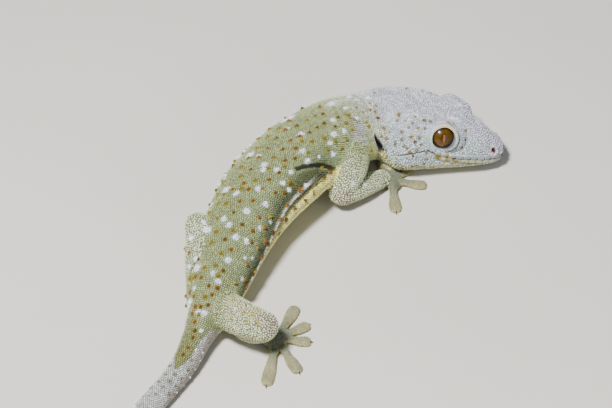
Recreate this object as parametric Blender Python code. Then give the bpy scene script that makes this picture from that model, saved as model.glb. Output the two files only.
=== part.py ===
"""Tokay gecko, life size, lying on a floor with its body bent to the right and its head turned further.

Every length is in millimetres until a mesh is made. The side of the animal towards -Y is its right side.
A cross-section is read from behind: angle 0 is the middle of the back, 90 the right flank, 180 the belly.
"""

import math
import random

import bmesh
import bpy
import numpy as np
from mathutils import Vector

MM = 0.001
GAP = 0.3
MERGE = 0.002
FLOOR = 0.0
UP = np.array([0.0, 0.0, 1.0])

# The head is straight, on an axis that starts at the tip of the snout
HEAD_TIP = np.array([67.0, 19.7, 5.8])
HEAD_YAW = math.radians(-12)
HEAD_PITCH = math.radians(-9)
HEAD_ROLL = math.radians(15)

# Distance behind the tip of the snout, half width, height above the axis, depth below it
HEAD = [
    (0.5, 2.8, 1.8, 2.3),
    (2.0, 4.7, 2.9, 3.7),
    (5.0, 6.8, 4.6, 5.2),
    (10.0, 9.2, 7.1, 7.0),
    (15.0, 11.2, 9.0, 8.4),
    (20.0, 13.0, 10.0, 9.6),
    (26.0, 15.2, 10.4, 11.1),
    (32.0, 17.2, 10.2, 12.6),
    (38.0, 16.8, 9.4, 13.2),
    (44.0, 14.2, 8.2, 13.8),
]

# The body axis from the neck back: name, x, y, z, half width, rise, depth, lean to the left in degrees
BODY = [
    ("neck", 19.4, 25.8, 12.8, 12.2, 9.6, 12.4, 15),
    ("shoulder", 12.0, 21.0, 14.2, 13.0, 10.8, 10.8, 16),
    ("chest", -0.2, 9.9, 14.4, 15.4, 11.6, 11.6, 18),
    ("ribs", -7.5, 0.9, 14.2, 15.4, 11.6, 11.6, 18),
    ("waist_front", -14.4, -8.8, 13.6, 14.4, 11.5, 11.3, 17),
    ("waist", -19.6, -19.0, 12.8, 12.7, 10.9, 10.8, 15),
    ("waist_back", -23.5, -29.0, 12.0, 11.5, 10.2, 10.4, 12),
    ("loin", -26.4, -39.6, 11.0, 9.8, 9.4, 10.3, 9),
    ("hip", -29.0, -48.6, 10.0, 8.3, 8.6, 10.4, 6),
    ("vent", -31.8, -58.0, 8.2, 6.2, 7.0, 8.6, 3),
    ("tail_root", -35.0, -66.6, 6.2, 4.6, 5.2, 6.3, 0),
    ("tail_1", -38.6, -76.0, 4.7, 4.0, 4.3, 4.9, 0),
    ("tail_2", -43.6, -84.8, 4.0, 3.7, 3.9, 4.2, 0),
    ("tail_3", -49.6, -94.4, 3.8, 3.8, 3.8, 4.0, 0),
    ("tail_4", -56.2, -107.0, 3.6, 3.8, 3.7, 3.8, 0),
    ("tail_5", -61.8, -120.5, 3.4, 3.6, 3.4, 3.6, 0),
    ("tail_6", -65.4, -134.5, 3.1, 3.2, 3.1, 3.3, 0),
    ("tail_7", -66.5, -149.0, 2.7, 2.7, 2.6, 2.9, 0),
    ("tail_8", -64.6, -163.0, 2.2, 2.1, 2.1, 2.4, 0),
    ("tail_9", -59.6, -176.0, 1.6, 1.4, 1.4, 1.8, 0),
    ("tail_tip", -52.6, -187.0, 1.0, 0.7, 0.7, 1.2, 0),
]
# Where the head ends and where the neck ends, as distances along the body from the snout
NAPE = 54.0
WITHERS = 66.0
# The body turns so sharply behind the head that its direction is read between two points this far each way
TURN_SPAN = 11.0
# Exponent of the oval cross-section, where 2 is an ellipse and more is squarer
ROUNDNESS = 2.25
CHEEK_ROUNDNESS = 2.7
CHEEK_AT = 29.0
CHEEK_SPAN = 11.0
BROW_ROUNDNESS = 1.95
BROW_AT = 17.0
BROW_SPAN = 6.0

# Nodes of the trunk: name, first station, last station, steps between rings, sides, skin
TRUNK_NODES = [
    ("neck", "nape", "withers", 4, 26, "skin_green"),
    ("chest", "withers", "ribs", 6, 26, "skin_green"),
    ("belly", "ribs", "waist_back", 7, 26, "skin_green"),
    ("pelvis", "waist_back", "tail_root", 9, 26, "skin_green"),
    ("tail_base", "tail_root", "tail_3", 8, 18, "skin_tail"),
    ("tail_middle", "tail_3", "tail_6", 8, 18, "skin_tail"),
    ("tail_end", "tail_6", "tail_tip", 10, 18, "skin_tail"),
]
LIMBED_NODES = 4
HEAD_PARTS = (0.6, 0.7, 0.8, 0.9, 0.98)

# The line of the mouth: distance behind the snout and height on the side of the head
MOUTH = [
    (0.5, -0.1),
    (1.2, -1.0),
    (7.8, -1.5),
    (15.4, -1.6),
    (20.7, -1.0),
    (25.0, 0.75),
    (29.4, -1.0),
    (33.6, -2.6),
]
MOUTH_DEPTH = 0.7
LIP_HALF = 0.55
LIP_PROUD = 0.25
LIP_WIDEST = 7.0
# The mouth's groove ends this far behind its last point, and grows shallow over this length
MOUTH_FADE = (2.0, 3.0)
HEAD_STEPS = 26
# Above 1 the rings of the head stand closer together towards the snout
HEAD_CROWDING = 1.3
FACE_ABOVE_MOUTH = 9
FACE_BELOW_MOUTH = 6

# Each eye, in the head's frame: distance behind the snout, to the side, up, then its turn forward and up
EYE_AT = (21.7, 9.2, 4.95)
EYE_RADIUS = 4.4
EYE_SIDES = 18
EYE_RINGS = 10
EYE_FORWARD = math.radians(16)
EYE_UP = math.radians(13)
LID_OPENING = 3.65
BROW_RADII = (6.3, 5.7, 5.3)
BROW_FORWARD = 2.1
BROW_INWARD = 0.6
LID_RADIUS = 4.35
LID_THICKNESS = 0.8
LID_STANDS = 2.5
LID_SIDES = 18
LID_ROUND = 6

NOSTRIL_AT = (3.4, 62)
NOSTRIL_RADIUS = 0.7
EAR_AT = (48.8, 99)
EAR_RADII = (0.9, 2.4, 4.3)
EAR_SLANT = math.radians(25)
EAR_SIDES = 10
NOSTRIL_SIDES = 8
BROW_SIDES = 16

# Limbs: points down each length with a radius, from the trunk out
LIMBS = {
    "right_upper_arm": [(15.6, 9.6, 15.0, 6.2), (14.2, 3.8, 13.0, 6.2), (11.7, -2.0, 7.6, 4.3)],
    "right_forearm": [(12.2, -2.0, 6.6, 3.9), (18.5, 2.6, 5.6, 4.0), (25.2, 8.2, 3.7, 3.3)],
    "left_upper_arm": [(3.4, 20.0, 12.4, 6.0), (0.2, 26.4, 9.8, 4.9), (-2.8, 31.6, 7.0, 3.9)],
    "left_forearm": [(-2.6, 31.8, 6.2, 3.8), (0.8, 35.0, 5.4, 3.8), (5.0, 38.4, 3.7, 2.8)],
    "right_thigh": [(-27.2, -56.0, 8.8, 6.4), (-20.0, -63.6, 12.0, 5.9), (-13.6, -68.2, 13.6, 5.1)],
    "right_shin": [(-13.8, -68.2, 12.2, 4.4), (-16.8, -65.0, 7.6, 4.0), (-20.2, -61.4, 3.6, 2.9)],
    "left_thigh": [(-32.4, -53.0, 8.4, 6.2), (-34.2, -39.0, 13.0, 5.2), (-35.3, -26.2, 16.4, 4.3)],
    "left_shin": [(-35.8, -25.0, 15.6, 4.1), (-35.2, -19.0, 9.6, 3.9), (-33.2, -13.4, 3.7, 2.8)],
}
LIMB_SIDES = 12
LIMB_STEPS = 7
LIMB_CLEARANCE = 2.2
DOME = (30, 60)

# Hands and feet: the wrist or ankle, the middle of the palm, its half width, and the tips of the toes
HANDS = {
    "right_hand": ((25.4, 8.2, 3.2), (28.8, 9.3, 1.9), 4.6, [
        (40.8, 8.1), (36.8, 17.8), (31.6, 20.0), (25.6, 19.6), (30.2, -4.6)]),
    "left_hand": ((4.8, 38.2, 3.2), (9.0, 39.8, 1.9), 3.9, [
        (20.4, 44.0), (17.4, 49.0), (11.0, 50.6), (4.4, 48.2), (17.6, 36.4)]),
    "right_foot": ((-19.4, -61.4, 3.2), (-9.4, -63.0, 2.0), 4.3, [
        (-3.2, -47.6), (1.0, -55.6), (1.6, -63.2), (-2.2, -76.4), (-12.6, -82.0)]),
    "left_foot": ((-33.0, -12.6, 3.2), (-26.0, -1.6, 2.0), 4.3, [
        (-13.4, 2.2), (-14.4, 10.2), (-18.6, 15.6), (-23.4, 15.0), (-27.0, 12.0)]),
}
# Along each palm: part of the way from the wrist to its middle, then past it, with half width and height
PALM_THICK = 1.9
WRIST = (2.7, 2.2)
BEHIND_PALM = (0.4, 2.5)
PALM_BACK = (0.75, 0.85)
PALM_FRONT = (2.2, 0.75, 0.8)
# Along each toe: part of its length, half width, half height, height of its middle
TOE = [
    (0.00, 1.5, 1.2, 1.7),
    (0.25, 1.3, 1.0, 1.6),
    (0.42, 1.55, 0.9, 1.1),
    (0.62, 2.05, 0.85, 0.75),
    (0.84, 2.15, 0.8, 0.7),
    (0.96, 1.7, 0.7, 0.6),
    (1.00, 0.8, 0.4, 0.5),
]
TOE_SIDES = 6
TOE_START = 0.14

# Conical scales in rows along the back: node, angles of its rows, steps between them, height
TUBERCLES = {
    "neck": ((12, 36, 60, 84), 5.6, 1.0),
    "chest": ((12, 34, 56, 78), 5.4, 1.1),
    "belly": ((12, 34, 56, 78), 5.4, 1.1),
    "pelvis": ((14, 40, 66), 5.4, 1.0),
    "tail_base": ((18, 60), 5.6, 1.0),
    "tail_middle": ((20, 66), 6.6, 0.9),
    "tail_end": ((22, 70), 8.4, 0.7),
}
TUBERCLE_SIDES = 5
TUBERCLE_RADIUS = 0.85
TUBERCLE_SUNK = 0.6
TUBERCLE_SEED = 7
ROW_STAGGER = 0.5
ROW_START = 0.25
# How far each cone strays: part of a step along its row, degrees across it, and its size
STRAY_ALONG = 0.1
STRAY_ACROSS = 3
CONE_SIZES = (0.85, 1.1)
LOW_ROWS_SMALLER = 0.3

SKIN = {
    "skin_head": (0.52, 0.54, 0.55, 1.0),
    "skin_green": (0.44, 0.46, 0.30, 1.0),
    "skin_tail": (0.45, 0.46, 0.40, 1.0),
    "eye": (0.16, 0.07, 0.02, 1.0),
}
SKIN_ROUGHNESS = 0.6
EYE_ROUGHNESS = 0.12
SHARP_FROM = math.radians(50)


def clear_scene():
    for old in list(bpy.data.objects):
        bpy.data.objects.remove(old)


def make_materials():
    made = {}
    for name, colour in SKIN.items():
        made[name] = bpy.data.materials.new(name)
        made[name].use_nodes = True
        shader = made[name].node_tree.nodes["Principled BSDF"]
        shader.inputs["Base Color"].default_value = colour
        shader.inputs["Roughness"].default_value = EYE_ROUGHNESS if name == "eye" else SKIN_ROUGHNESS
        shader.inputs["Metallic"].default_value = 0.0
    return made


def unit(vector):
    return vector / np.linalg.norm(vector)


def leaning_frame(forward, lean):
    """Right and up for a ring that faces forward and leans to the left."""
    level_left = unit(np.cross(UP, forward))
    level_up = np.cross(forward, level_left)
    left = level_left * math.cos(lean) - level_up * math.sin(lean)
    up = level_up * math.cos(lean) + level_left * math.sin(lean)
    return -left, up


def head_frame():
    forward = np.array([
        math.cos(HEAD_PITCH) * math.cos(HEAD_YAW),
        math.cos(HEAD_PITCH) * math.sin(HEAD_YAW),
        math.sin(HEAD_PITCH),
    ])
    right, up = leaning_frame(forward, HEAD_ROLL)
    return forward, right, up


HEAD_FORWARD, HEAD_RIGHT, HEAD_UP = head_frame()


def head_point(back, right, up):
    return HEAD_TIP - HEAD_FORWARD * back + HEAD_RIGHT * right + HEAD_UP * up


def spline(knots, values, at):
    """A smooth curve through the values at the knots, read at one place."""
    i = int(np.clip(np.searchsorted(knots, at) - 1, 0, len(knots) - 2))
    slopes = []
    for k in (i, i + 1):
        low = max(k - 1, 0)
        high = min(k + 1, len(knots) - 1)
        slopes.append((values[high] - values[low]) / (knots[high] - knots[low]))
    step = knots[i + 1] - knots[i]
    t = (at - knots[i]) / step
    start = values[i] * (2 * t**3 - 3 * t**2 + 1) + slopes[0] * step * (t**3 - 2 * t**2 + t)
    return start + values[i + 1] * (3 * t**2 - 2 * t**3) + slopes[1] * step * (t**3 - t**2)


def body_stations():
    """Every station from the snout to the tip of the tail, and how far along the body each one is."""
    places = [head_point(row[0], 0.0, 0.0) for row in HEAD]
    shapes = [(*row[1:], math.degrees(HEAD_ROLL)) for row in HEAD]
    for _, x, y, z, *shape in BODY:
        places.append(np.array([x, y, z]))
        shapes.append(shape)
    steps = [np.linalg.norm(b - a) for a, b in zip(places, places[1:])]
    along = HEAD[0][0] + np.concatenate([[0.0], np.cumsum(steps)])
    return along, np.array(places), np.array(shapes)


ALONG, PLACES, SHAPES = body_stations()
STATION = {"nape": NAPE, "withers": WITHERS}
STATION.update({row[0]: ALONG[len(HEAD) + i] for i, row in enumerate(BODY)})


def axis_point(along):
    return spline(ALONG, PLACES, along)


def ring_frame(along):
    """Centre, forward, right and up of the cross-section at a distance along the body."""
    ahead = axis_point(max(along - TURN_SPAN, ALONG[0]))
    behind = axis_point(min(along + TURN_SPAN, ALONG[-1]))
    forward = unit(ahead - behind)
    lean = math.radians(spline(ALONG, SHAPES[:, 3], along))
    right, up = leaning_frame(forward, lean)
    return axis_point(along), forward, right, up


def bump(along, middle, span):
    return math.exp(-(((along - middle) / span) ** 2))


def roundness(along, above):
    """The cheeks are squarer than the rest of the body, and the face slopes in above the mouth."""
    power = ROUNDNESS + (CHEEK_ROUNDNESS - ROUNDNESS) * bump(along, CHEEK_AT, CHEEK_SPAN)
    if above:
        power += (BROW_ROUNDNESS - power) * bump(along, BROW_AT, BROW_SPAN)
    return power


def section_point(along, angle, out=0.0):
    """Right and up of a point of the skin in its ring, for an angle in degrees from the back."""
    half_width, rise, depth, _ = spline(ALONG, SHAPES, along)
    across = math.sin(math.radians(angle))
    upward = math.cos(math.radians(angle))
    power = 2 / roundness(along, upward > 0)
    right = math.copysign(abs(across) ** power, across) * (half_width + out)
    up = math.copysign(abs(upward) ** power, upward) * ((rise if upward > 0 else depth) + out)
    return right, up


def skin_point(along, angle, out=0.0):
    centre, _, right, up = ring_frame(along)
    across, upward = section_point(along, angle, out)
    return centre + right * across + up * upward


def trunk_ring(along, sides, shift=0.0, out=0.0):
    """One ring of the trunk, moved forward by shift in its own plane's direction."""
    _, forward, _, _ = ring_frame(along)
    angles = [360 * (i + 0.5) / sides for i in range(sides)]
    return [skin_point(along, angle, out) + forward * shift for angle in angles]


def trunk_rings(first, last, steps, sides, out=0.0):
    rings = []
    for i in range(steps + 1):
        along = STATION[first] + (STATION[last] - STATION[first]) * i / steps
        shift = {0: -GAP / 2, steps: GAP / 2}.get(i, 0.0)
        rings.append(trunk_ring(along, sides, shift, out))
    return rings


def mesh_object(name, mesh, skin=None):
    """An object from a bmesh in millimetres, in triangles, facing out."""
    bmesh.ops.scale(mesh, vec=(MM, MM, MM), verts=mesh.verts)
    bmesh.ops.triangulate(mesh, faces=mesh.faces)
    bmesh.ops.recalc_face_normals(mesh, faces=mesh.faces)
    data = bpy.data.meshes.new(name)
    mesh.to_mesh(data)
    mesh.free()
    made = bpy.data.objects.new(name, data)
    bpy.context.scene.collection.objects.link(made)
    if skin:
        data.materials.append(skin)
    return made


def loft(name, rings, skin=None, closed=False):
    """A closed object through rings of equal count, with its ends filled, or joined where it is closed."""
    mesh = bmesh.new()
    rows = [[mesh.verts.new(point) for point in ring] for ring in rings]
    pairs = list(zip(rows, rows[1:]))
    if closed:
        pairs.append((rows[-1], rows[0]))
    for row, following in pairs:
        for i, vertex in enumerate(row):
            j = (i + 1) % len(row)
            mesh.faces.new((vertex, row[j], following[j], following[i]))
    if not closed:
        for row in (rows[0], rows[-1]):
            middle = mesh.verts.new(sum((v.co for v in row), Vector()) / len(row))
            for i, vertex in enumerate(row):
                mesh.faces.new((vertex, row[(i + 1) % len(row)], middle))
    return mesh_object(name, mesh, skin)


def ellipsoid(name, centre, axes, radii, sides, rings, skin=None):
    """A ball of three radii along the three given axes."""
    mesh = bmesh.new()
    bmesh.ops.create_uvsphere(mesh, u_segments=sides, v_segments=rings, radius=1.0)
    for vertex in mesh.verts:
        local = np.array(vertex.co)
        vertex.co = centre + sum(axis * radius * part for axis, radius, part in zip(axes, radii, local))
    return mesh_object(name, mesh, skin)


def combine(target, pieces, operation):
    """Join the pieces to the target, or cut them from it, and remove them."""
    group = bpy.data.collections.new(operation)
    bpy.context.scene.collection.children.link(group)
    for piece in pieces:
        group.objects.link(piece)
    change = target.modifiers.new(operation, "BOOLEAN")
    change.operation = operation
    change.solver = "EXACT"
    change.operand_type = "COLLECTION"
    change.collection = group
    evaluated = target.evaluated_get(bpy.context.evaluated_depsgraph_get())
    changed = bpy.data.meshes.new_from_object(evaluated)
    target.modifiers.clear()
    target.data = changed
    for piece in pieces:
        bpy.data.objects.remove(piece)
    bpy.data.collections.remove(group)


def finish_solid(target, skin):
    """Cut the node flat at the floor, keep its largest closed surface, and shade it."""
    mesh = bmesh.new()
    mesh.from_mesh(target.data)
    if min(vertex.co.z for vertex in mesh.verts) < FLOOR:
        everything = list(mesh.verts) + list(mesh.edges) + list(mesh.faces)
        cut = bmesh.ops.bisect_plane(
            mesh, geom=everything, dist=1e-6, plane_co=(0, 0, FLOOR), plane_no=(0, 0, 1), clear_inner=True)
        rim = [piece for piece in cut["geom_cut"] if isinstance(piece, bmesh.types.BMEdge)]
        bmesh.ops.holes_fill(mesh, edges=rim)
    bmesh.ops.remove_doubles(mesh, verts=mesh.verts, dist=MERGE * MM)
    bmesh.ops.dissolve_degenerate(mesh, edges=mesh.edges, dist=MERGE * MM)
    bmesh.ops.triangulate(mesh, faces=mesh.faces)
    keep_largest(mesh)
    bmesh.ops.recalc_face_normals(mesh, faces=mesh.faces)
    mesh.to_mesh(target.data)
    mesh.free()
    target.data.materials.clear()
    target.data.materials.append(skin)
    target.data.shade_smooth()
    target.data.set_sharp_from_angle(angle=SHARP_FROM)


def keep_largest(mesh):
    """Remove every closed surface of the mesh but the one with most volume."""
    waiting = set(mesh.faces)
    surfaces = []
    while waiting:
        reached = [waiting.pop()]
        surface = set(reached)
        while reached:
            face = reached.pop()
            for edge in face.edges:
                for other in edge.link_faces:
                    if other in waiting:
                        waiting.remove(other)
                        surface.add(other)
                        reached.append(other)
        surfaces.append(surface)
    surfaces.sort(key=surface_volume)
    for surface in surfaces[:-1]:
        bmesh.ops.delete(mesh, geom=list(surface), context="FACES")


def surface_volume(surface):
    total = 0.0
    for face in surface:
        a, b, c = (vertex.co for vertex in face.verts)
        total += a.dot(b.cross(c)) / 6
    return abs(total)


def mouth_angle(back):
    """Angle of the mouth's line in the head's ring at this distance behind the snout."""
    table = np.array(MOUTH)
    height = float(np.interp(back, table[:, 0], table[:, 1]))
    _, rise, depth, _ = spline(ALONG, SHAPES, back)
    part = height / (rise if height > 0 else depth)
    turn = math.degrees(math.asin(min(abs(part), 0.9) ** (roundness(back, height > 0) / 2)))
    return 90 - math.copysign(turn, height)


def face_ring(back, out=0.0):
    """A ring of the head whose points follow the mouth: upper lip, the groove between, lower lip."""
    centre, _, right, up = ring_frame(back)
    middle = mouth_angle(back)
    half_width = spline(ALONG, SHAPES, back)[0]
    fade = min(max((MOUTH[-1][0] + MOUTH_FADE[0] - back) / MOUTH_FADE[1], 0.0), 1.0)
    lip = min(math.degrees(LIP_HALF / half_width), LIP_WIDEST)
    side = [(middle - lip) * i / FACE_ABOVE_MOUTH for i in range(FACE_ABOVE_MOUTH)]
    proud = [0.0] * len(side)
    side += [middle - lip, middle, middle + lip]
    proud += [LIP_PROUD * fade, -MOUTH_DEPTH * fade, LIP_PROUD * fade]
    below = 180 - middle - lip
    side += [middle + lip + below * (i + 1) / FACE_BELOW_MOUTH for i in range(FACE_BELOW_MOUTH)]
    proud += [0.0] * FACE_BELOW_MOUTH
    ring = []
    for mirror in (1, -1):
        order = range(len(side)) if mirror == 1 else range(len(side) - 2, 0, -1)
        for i in order:
            across, upward = section_point(back, side[i], out + proud[i])
            ring.append(centre + right * across * mirror + up * upward)
    return ring


def head_rings(out=0.0):
    rings = []
    for i in range(HEAD_STEPS + 1):
        back = HEAD[0][0] + (NAPE - HEAD[0][0]) * (i / HEAD_STEPS) ** HEAD_CROWDING
        rings.append(face_ring(back, out))
    _, forward, _, _ = ring_frame(NAPE)
    rings[-1] = [point + forward * GAP / 2 for point in rings[-1]]
    return rings


def eye_axes(side):
    """Where the eye looks, then forward and up across it, for side 1 on the right and -1 on the left."""
    out = HEAD_RIGHT * side * math.cos(EYE_FORWARD) + HEAD_FORWARD * math.sin(EYE_FORWARD)
    look = unit(out * math.cos(EYE_UP) + HEAD_UP * math.sin(EYE_UP))
    upward = unit(HEAD_UP - look * np.dot(HEAD_UP, look))
    return look, np.cross(upward, look), upward


def eye_centre(side):
    back, across, up = EYE_AT
    return head_point(back, across * side, up)


def lid_ring(side):
    look, across, upward = eye_axes(side)
    middle = eye_centre(side) + look * LID_STANDS
    rings = []
    for i in range(LID_SIDES):
        turn = math.tau * i / LID_SIDES
        spoke = across * math.cos(turn) + upward * math.sin(turn)
        ring = []
        for j in range(LID_ROUND):
            roll = math.tau * j / LID_ROUND
            ring.append(middle + spoke * (LID_RADIUS + LID_THICKNESS * math.cos(roll))
                        + look * LID_THICKNESS * math.sin(roll))
        rings.append(ring)
    return loft("lid", rings, closed=True)


def lid_cutter(side):
    """The opening between the lids, out from the middle of the eye."""
    look, across, upward = eye_axes(side)
    turns = [math.tau * i / LID_SIDES for i in range(LID_SIDES)]
    spokes = [across * math.cos(turn) + upward * math.sin(turn) for turn in turns]
    rings = []
    for distance in (0.0, 3 * EYE_RADIUS):
        middle = eye_centre(side) + look * distance
        rings.append([middle + spoke * LID_OPENING for spoke in spokes])
    return loft("opening", rings)


def ear_cutter(side):
    """The ear opening is a tall slit behind the jaw, with its lower end further forward."""
    _, forward, right, up = ring_frame(EAR_AT[0])
    slit = up * math.cos(EAR_SLANT) - forward * math.sin(EAR_SLANT)
    across = forward * math.cos(EAR_SLANT) + up * math.sin(EAR_SLANT)
    middle = skin_point(EAR_AT[0], EAR_AT[1] * side)
    return ellipsoid("ear", middle, (across, right, slit), EAR_RADII, EAR_SIDES, EAR_SIDES - 2)


def make_head(skins):
    head = loft("head", head_rings())
    added = []
    cut = []
    head_axes = (HEAD_FORWARD, HEAD_RIGHT, HEAD_UP)
    for side in (1, -1):
        brow = eye_centre(side) + HEAD_FORWARD * BROW_FORWARD - HEAD_RIGHT * side * BROW_INWARD
        added.append(ellipsoid("brow", brow, head_axes, BROW_RADII, BROW_SIDES, BROW_SIDES - 6))
        added.append(lid_ring(side))
        socket = [EYE_RADIUS + GAP] * 3
        cut.append(ellipsoid("socket", eye_centre(side), eye_axes(side), socket, EYE_SIDES, EYE_RINGS))
        cut.append(lid_cutter(side))
        nostril = skin_point(NOSTRIL_AT[0], NOSTRIL_AT[1] * side)
        radii = [NOSTRIL_RADIUS] * 3
        cut.append(ellipsoid("nostril", nostril, head_axes, radii, NOSTRIL_SIDES, NOSTRIL_SIDES - 2))
        cut.append(ear_cutter(side))
    combine(head, added, "UNION")
    combine(head, cut, "DIFFERENCE")
    finish_solid(head, skins["skin_head"])


def make_eyes(skins):
    for name, side in (("eye_right", 1), ("eye_left", -1)):
        radii = [EYE_RADIUS] * 3
        eye = ellipsoid(name, eye_centre(side), eye_axes(side), radii, EYE_SIDES, EYE_RINGS, skins["eye"])
        eye.data.shade_smooth()


def spike(base, direction, radius, height):
    """A cone whose root is sunk in the skin."""
    aside = unit(np.cross(direction, UP if abs(direction[2]) < 0.9 else HEAD_FORWARD))
    across = np.cross(direction, aside)
    mesh = bmesh.new()
    rim = []
    for i in range(TUBERCLE_SIDES):
        turn = math.tau * i / TUBERCLE_SIDES
        rim.append(mesh.verts.new(
            base - direction * TUBERCLE_SUNK + (aside * math.cos(turn) + across * math.sin(turn)) * radius))
    tip = mesh.verts.new(base + direction * height)
    mesh.faces.new(rim)
    for i, vertex in enumerate(rim):
        mesh.faces.new((vertex, rim[(i + 1) % len(rim)], tip))
    return mesh_object("tubercle", mesh)


def limb_path(points):
    """Points with a radius at equal steps down a limb."""
    table = np.array(points)
    knots = np.arange(len(table), dtype=float)
    return [spline(knots, table, knots[-1] * i / LIMB_STEPS) for i in range(LIMB_STEPS + 1)]


def near_limb(place):
    """Whether a place on the trunk is under a limb or close beside one."""
    for points in LIMBS.values():
        for *centre, radius in limb_path(points):
            if np.linalg.norm(place - np.array(centre)) < radius + LIMB_CLEARANCE:
                return True
    return False


def tubercles(node, first, last):
    rows, spacing, height = TUBERCLES[node]
    draw = random.Random(TUBERCLE_SEED)
    start = STATION[first]
    length = STATION[last] - start
    count = int(length / spacing)
    made = []
    for row, angle in enumerate(rows):
        for side in (1, -1):
            for i in range(count):
                stagger = ROW_STAGGER * (row % 2)
                step = i + ROW_START + stagger + draw.uniform(-STRAY_ALONG, STRAY_ALONG)
                along = start + step * length / count
                turn = side * (angle + draw.uniform(-STRAY_ACROSS, STRAY_ACROSS))
                size = draw.uniform(*CONE_SIZES) * (1 - LOW_ROWS_SMALLER * row / len(rows))
                base = skin_point(along, turn)
                if near_limb(base) or along > STATION[last] - TUBERCLE_RADIUS:
                    continue
                outward = unit(skin_point(along, turn, 1.0) - base)
                made.append(spike(base, outward, TUBERCLE_RADIUS * size, height * size))
    return made


def make_trunk(skins):
    for name, first, last, steps, sides, skin in TRUNK_NODES:
        node = loft(name, trunk_rings(first, last, steps, sides))
        combine(node, tubercles(name, first, last), "UNION")
        finish_solid(node, skins[skin])


def grown_trunk():
    """The back of the head and the trunk, larger by the gap, to cut the limbs with."""
    _, _, _, _, sides, _ = TRUNK_NODES[0]
    rings = [trunk_ring(NAPE * part, sides, 0.0, GAP) for part in HEAD_PARTS]
    for _, first, last, steps, sides, _ in TRUNK_NODES[:LIMBED_NODES]:
        rings += trunk_rings(first, last, steps, sides, GAP)
    return loft("grown_trunk", rings)


def limb_rings(points, out=0.0):
    """Rings down a limb with a dome at each end."""
    rings = []
    path = limb_path(points)
    rounds = [(path[0], -angle) for angle in reversed(DOME)]
    rounds += [(point, 0) for point in path]
    rounds += [(path[-1], angle) for angle in DOME]
    for i, (point, angle) in enumerate(rounds):
        k = min(max(i - len(DOME), 0), LIMB_STEPS)
        ahead = path[min(k + 1, LIMB_STEPS)][:3]
        behind = path[max(k - 1, 0)][:3]
        direction = unit(ahead - behind)
        aside = unit(np.cross(direction, UP))
        across = np.cross(direction, aside)
        radius = point[3] + out
        centre = point[:3] + direction * radius * math.sin(math.radians(angle))
        round_radius = radius * math.cos(math.radians(angle))
        rings.append([
            centre + (aside * math.cos(math.tau * j / LIMB_SIDES)
                      + across * math.sin(math.tau * j / LIMB_SIDES)) * round_radius
            for j in range(LIMB_SIDES)])
    return rings


def flat_rings(stations, sides):
    """Rings along a level path: each station is a point, half width and half height."""
    rings = []
    for i, (point, half_width, half_height) in enumerate(stations):
        ahead = stations[min(i + 1, len(stations) - 1)][0]
        behind = stations[max(i - 1, 0)][0]
        direction = ahead - behind
        aside = unit(np.cross(direction, UP))
        rings.append([
            point + aside * half_width * math.cos(math.tau * (j + 0.5) / sides)
            + UP * half_height * math.sin(math.tau * (j + 0.5) / sides)
            for j in range(sides)])
    return rings


def palm_rings(wrist, palm, half_width):
    start = np.array(wrist)
    end = np.array(palm)
    wrist_part, wrist_width = BEHIND_PALM
    back_part, back_width = PALM_BACK
    reach, front_width, front_height = PALM_FRONT
    stations = [
        (start, *WRIST),
        (start + (end - start) * wrist_part, wrist_width, PALM_THICK),
        (start + (end - start) * back_part, half_width * back_width, PALM_THICK),
        (end, half_width, PALM_THICK),
        (end + unit(end - start) * reach, half_width * front_width, PALM_THICK * front_height),
    ]
    return flat_rings(stations, LIMB_SIDES)


def toe_rings(palm, tip):
    middle = np.array([palm[0], palm[1], 0.0])
    end = np.array([tip[0], tip[1], 0.0])
    start = middle + (end - middle) * TOE_START
    stations = []
    for part, half_width, half_height, height in TOE:
        stations.append((start + (end - start) * part + UP * height, half_width, half_height))
    return flat_rings(stations, TOE_SIDES)


def make_limbs(skins):
    chains = [
        ("right_upper_arm", "right_forearm", "right_hand"),
        ("left_upper_arm", "left_forearm", "left_hand"),
        ("right_thigh", "right_shin", "right_foot"),
        ("left_thigh", "left_shin", "left_foot"),
    ]
    for root, middle, end in chains:
        first = loft(root, limb_rings(LIMBS[root]))
        combine(first, [grown_trunk()], "DIFFERENCE")
        finish_solid(first, skins["skin_green"])
        second = loft(middle, limb_rings(LIMBS[middle]))
        combine(second, [loft("grown", limb_rings(LIMBS[root], GAP)), grown_trunk()], "DIFFERENCE")
        finish_solid(second, skins["skin_green"])
        wrist, palm, half_width, tips = HANDS[end]
        third = loft(end, palm_rings(wrist, palm, half_width))
        combine(third, [loft("toe", toe_rings(palm, tip)) for tip in tips], "UNION")
        grown = [loft("grown", limb_rings(LIMBS[name], GAP)) for name in (root, middle)]
        grown.append(loft("grown_head", head_rings(GAP)))
        combine(third, grown, "DIFFERENCE")
        finish_solid(third, skins["skin_green"])


def stand_on_origin():
    """Put the middle of the whole animal's box over the origin, under one empty."""
    corners = []
    nodes = [item for item in bpy.data.objects if item.type == "MESH"]
    for node in nodes:
        corners += [np.array(vertex.co) for vertex in node.data.vertices]
    middle = (np.min(corners, axis=0) + np.max(corners, axis=0)) / 2
    gecko = bpy.data.objects.new("gecko", None)
    bpy.context.scene.collection.objects.link(gecko)
    gecko.location = (-middle[0], -middle[1], 0.0)
    for node in nodes:
        node.parent = gecko


def main():
    clear_scene()
    skins = make_materials()
    make_head(skins)
    make_eyes(skins)
    make_trunk(skins)
    make_limbs(skins)
    stand_on_origin()


main()
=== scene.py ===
"""The looks of a tokay gecko: one skin over the whole body, its scales, lips, nostril rims, eyes and claws.

Lengths are millimetres in the layout the body was designed in, until a mesh is made.
A cross-section is read from behind: angle 0 is the middle of the back, 90 the right flank, 180 the belly.
"""

import math

import bmesh
import bpy
import numpy as np
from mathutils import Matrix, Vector
from mathutils.bvhtree import BVHTree
from mathutils.kdtree import KDTree


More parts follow.
